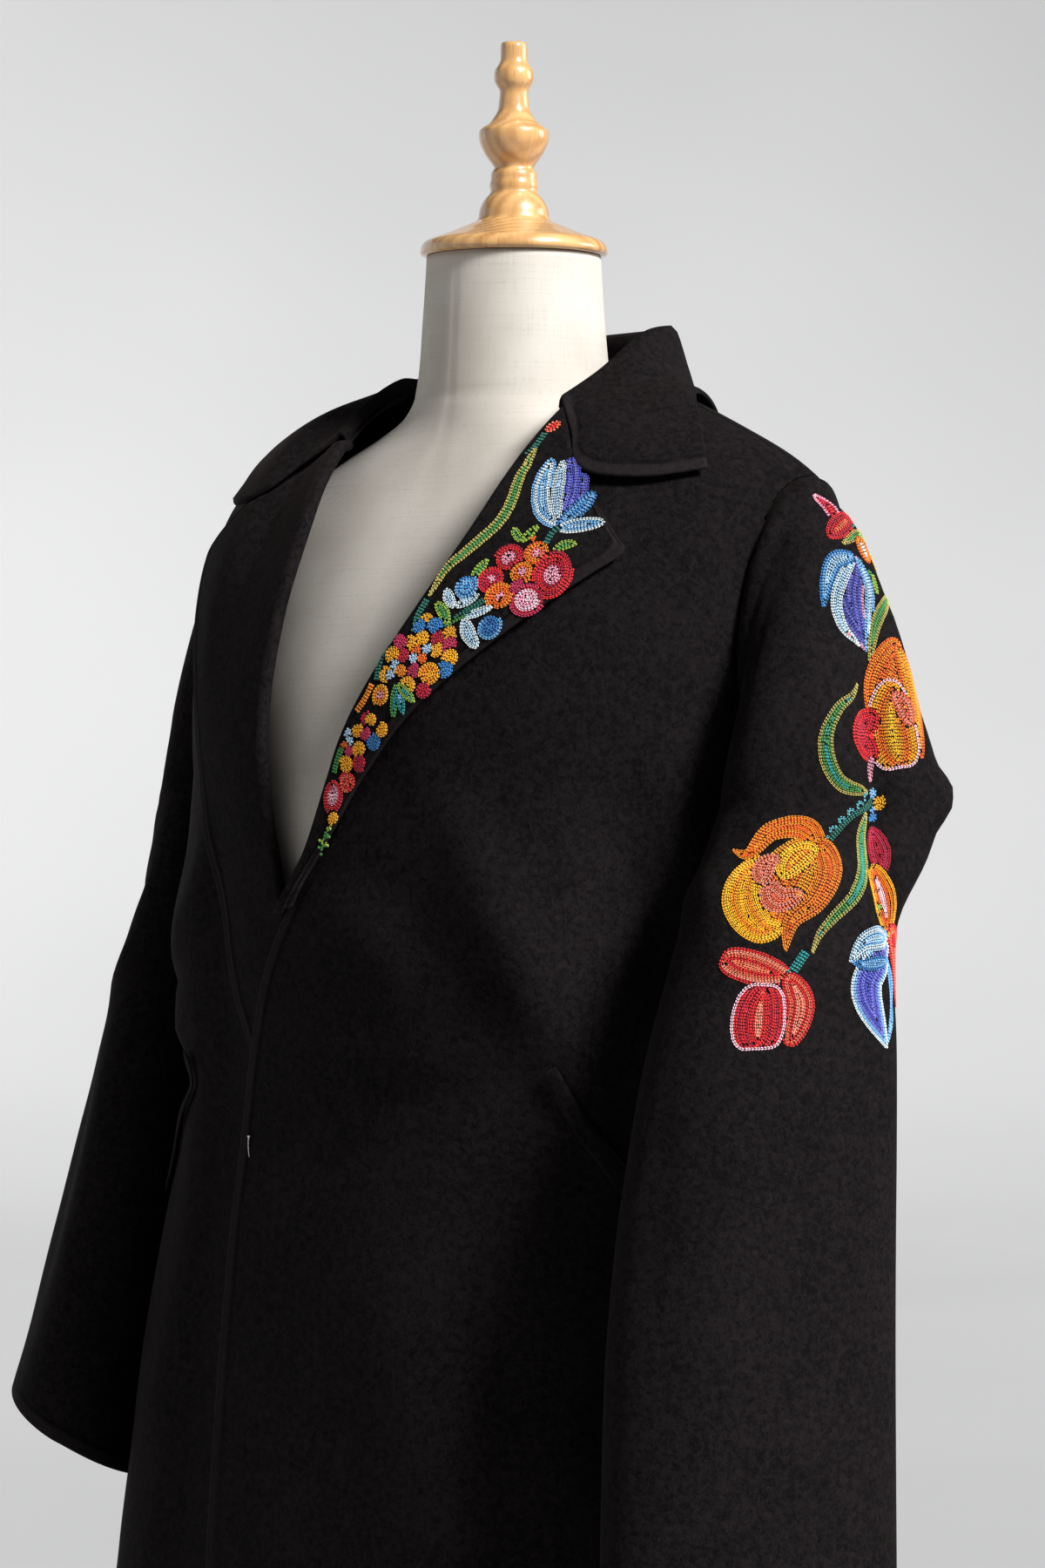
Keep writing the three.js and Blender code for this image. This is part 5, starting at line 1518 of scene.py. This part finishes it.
# ---- Stage, light and camera ----
STAGE_RADIUS, STAGE_BEND, STAGE_RIM = 15000, 5000, 9000
VIEW_TURN = math.radians(40)
TOWARDS = np.array([math.sin(VIEW_TURN), -math.cos(VIEW_TURN), 0])
RIGHTWARDS = np.array([math.cos(VIEW_TURN), math.sin(VIEW_TURN), 0])
UP = np.array([0, 0, 1])
CHEST = np.array([0, 0, 1.2])
EYE_AWAY, EYE_RIGHT, EYE_UP = 3.0, 0.0053, 1.1593
LENS, SENSOR = 113.2, 36


def stage_bowl(rings=24, columns=96):
    """A pale floor that curves up into a round wall."""
    turn = np.linspace(0, math.pi / 2, rings)
    flat = STAGE_RADIUS - STAGE_BEND
    profile = np.concatenate([
        np.stack([np.linspace(0.1, flat, rings), np.zeros(rings)], 1),
        np.stack([flat + STAGE_BEND * np.sin(turn), STAGE_BEND - STAGE_BEND * np.cos(turn)], 1)[1:],
        [[STAGE_RADIUS, STAGE_RIM]],
    ])
    angle = np.linspace(0, 2 * np.pi, columns, endpoint=False)
    grid = np.stack([profile[:, :1] * np.cos(angle), profile[:, :1] * np.sin(angle),
                     np.broadcast_to(profile[:, 1:], (len(profile), columns))], -1)
    made = make_mesh("stage_bowl", grid, quads(len(profile), columns, closed=True))
    made.data.materials.append(backdrop_look())


def backdrop_look():
    """Matt pale paper, a little uneven."""
    look = Look("backdrop", Specular_IOR_Level=0.1)
    cloud = look.noise(look.place(), 0.4, 2)
    look.feed(Base_Color=look.blend(look.fit(cloud, 0.3, 0.7), (0.415, 0.415, 0.417), (0.445, 0.445, 0.447)),
              Roughness=look.fit(cloud, 0.3, 0.7, 0.9, 0.96))
    return look.material


def set_up(name, data, across, up, back, place):
    """Links a lamp or camera with its three axes given, at a place in metres."""
    made = bpy.data.objects.new(name, data)
    bpy.context.scene.collection.objects.link(made)
    made.matrix_world = Matrix(np.vstack([np.column_stack([across, up, back, place]), [0, 0, 0, 1]]))
    return made


def set_lamp(name, data, back, place):
    """A lamp whose light goes against its back direction."""
    across = unit(np.cross(UP, back))
    set_up(name, data, across, np.cross(back, across), back, place)


def area_light(name, place, size, power):
    """A square lamp at a place, turned towards the chest."""
    light = bpy.data.lights.new(name, "AREA")
    light.shape, light.size, light.energy = "SQUARE", size, power
    set_lamp(name, light, unit(place - CHEST), place)


def window_light():
    """A soft sun from the front, high on the right."""
    light = bpy.data.lights.new("window", "SUN")
    light.energy, light.angle = 6.0, math.radians(15)
    back = unit(0.60 * TOWARDS + 0.70 * RIGHTWARDS + 0.74 * UP)
    set_lamp("window", light, back, 4 * back)


def soft_room():
    """Faint even light from all round, and plain display colours."""
    world = bpy.data.worlds.new("soft_room")
    world.use_nodes = True
    bpy.context.scene.world = world
    background = world.node_tree.nodes["Background"]
    background.inputs["Color"].default_value = (1, 1, 1, 1)
    background.inputs["Strength"].default_value = 0.085
    bpy.context.scene.view_settings.view_transform = "Standard"


def camera():
    """A level camera at chest height, a view turn round to the wearer's left."""
    data = bpy.data.cameras.new("camera")
    data.lens, data.sensor_width = LENS, SENSOR
    eye = EYE_AWAY * TOWARDS + EYE_RIGHT * RIGHTWARDS + EYE_UP * UP
    bpy.context.scene.camera = set_up("camera", data, RIGHTWARDS, UP, TOWARDS, eye)


stage_bowl()
area_light("key", CHEST + 2.2 * TOWARDS + 1.9 * RIGHTWARDS + 1.9 * UP, 0.9, 30)
area_light("rim", CHEST - 0.6 * TOWARDS + 2.6 * RIGHTWARDS + 0.8 * UP, 1.2, 22)
window_light()
soft_room()
camera()
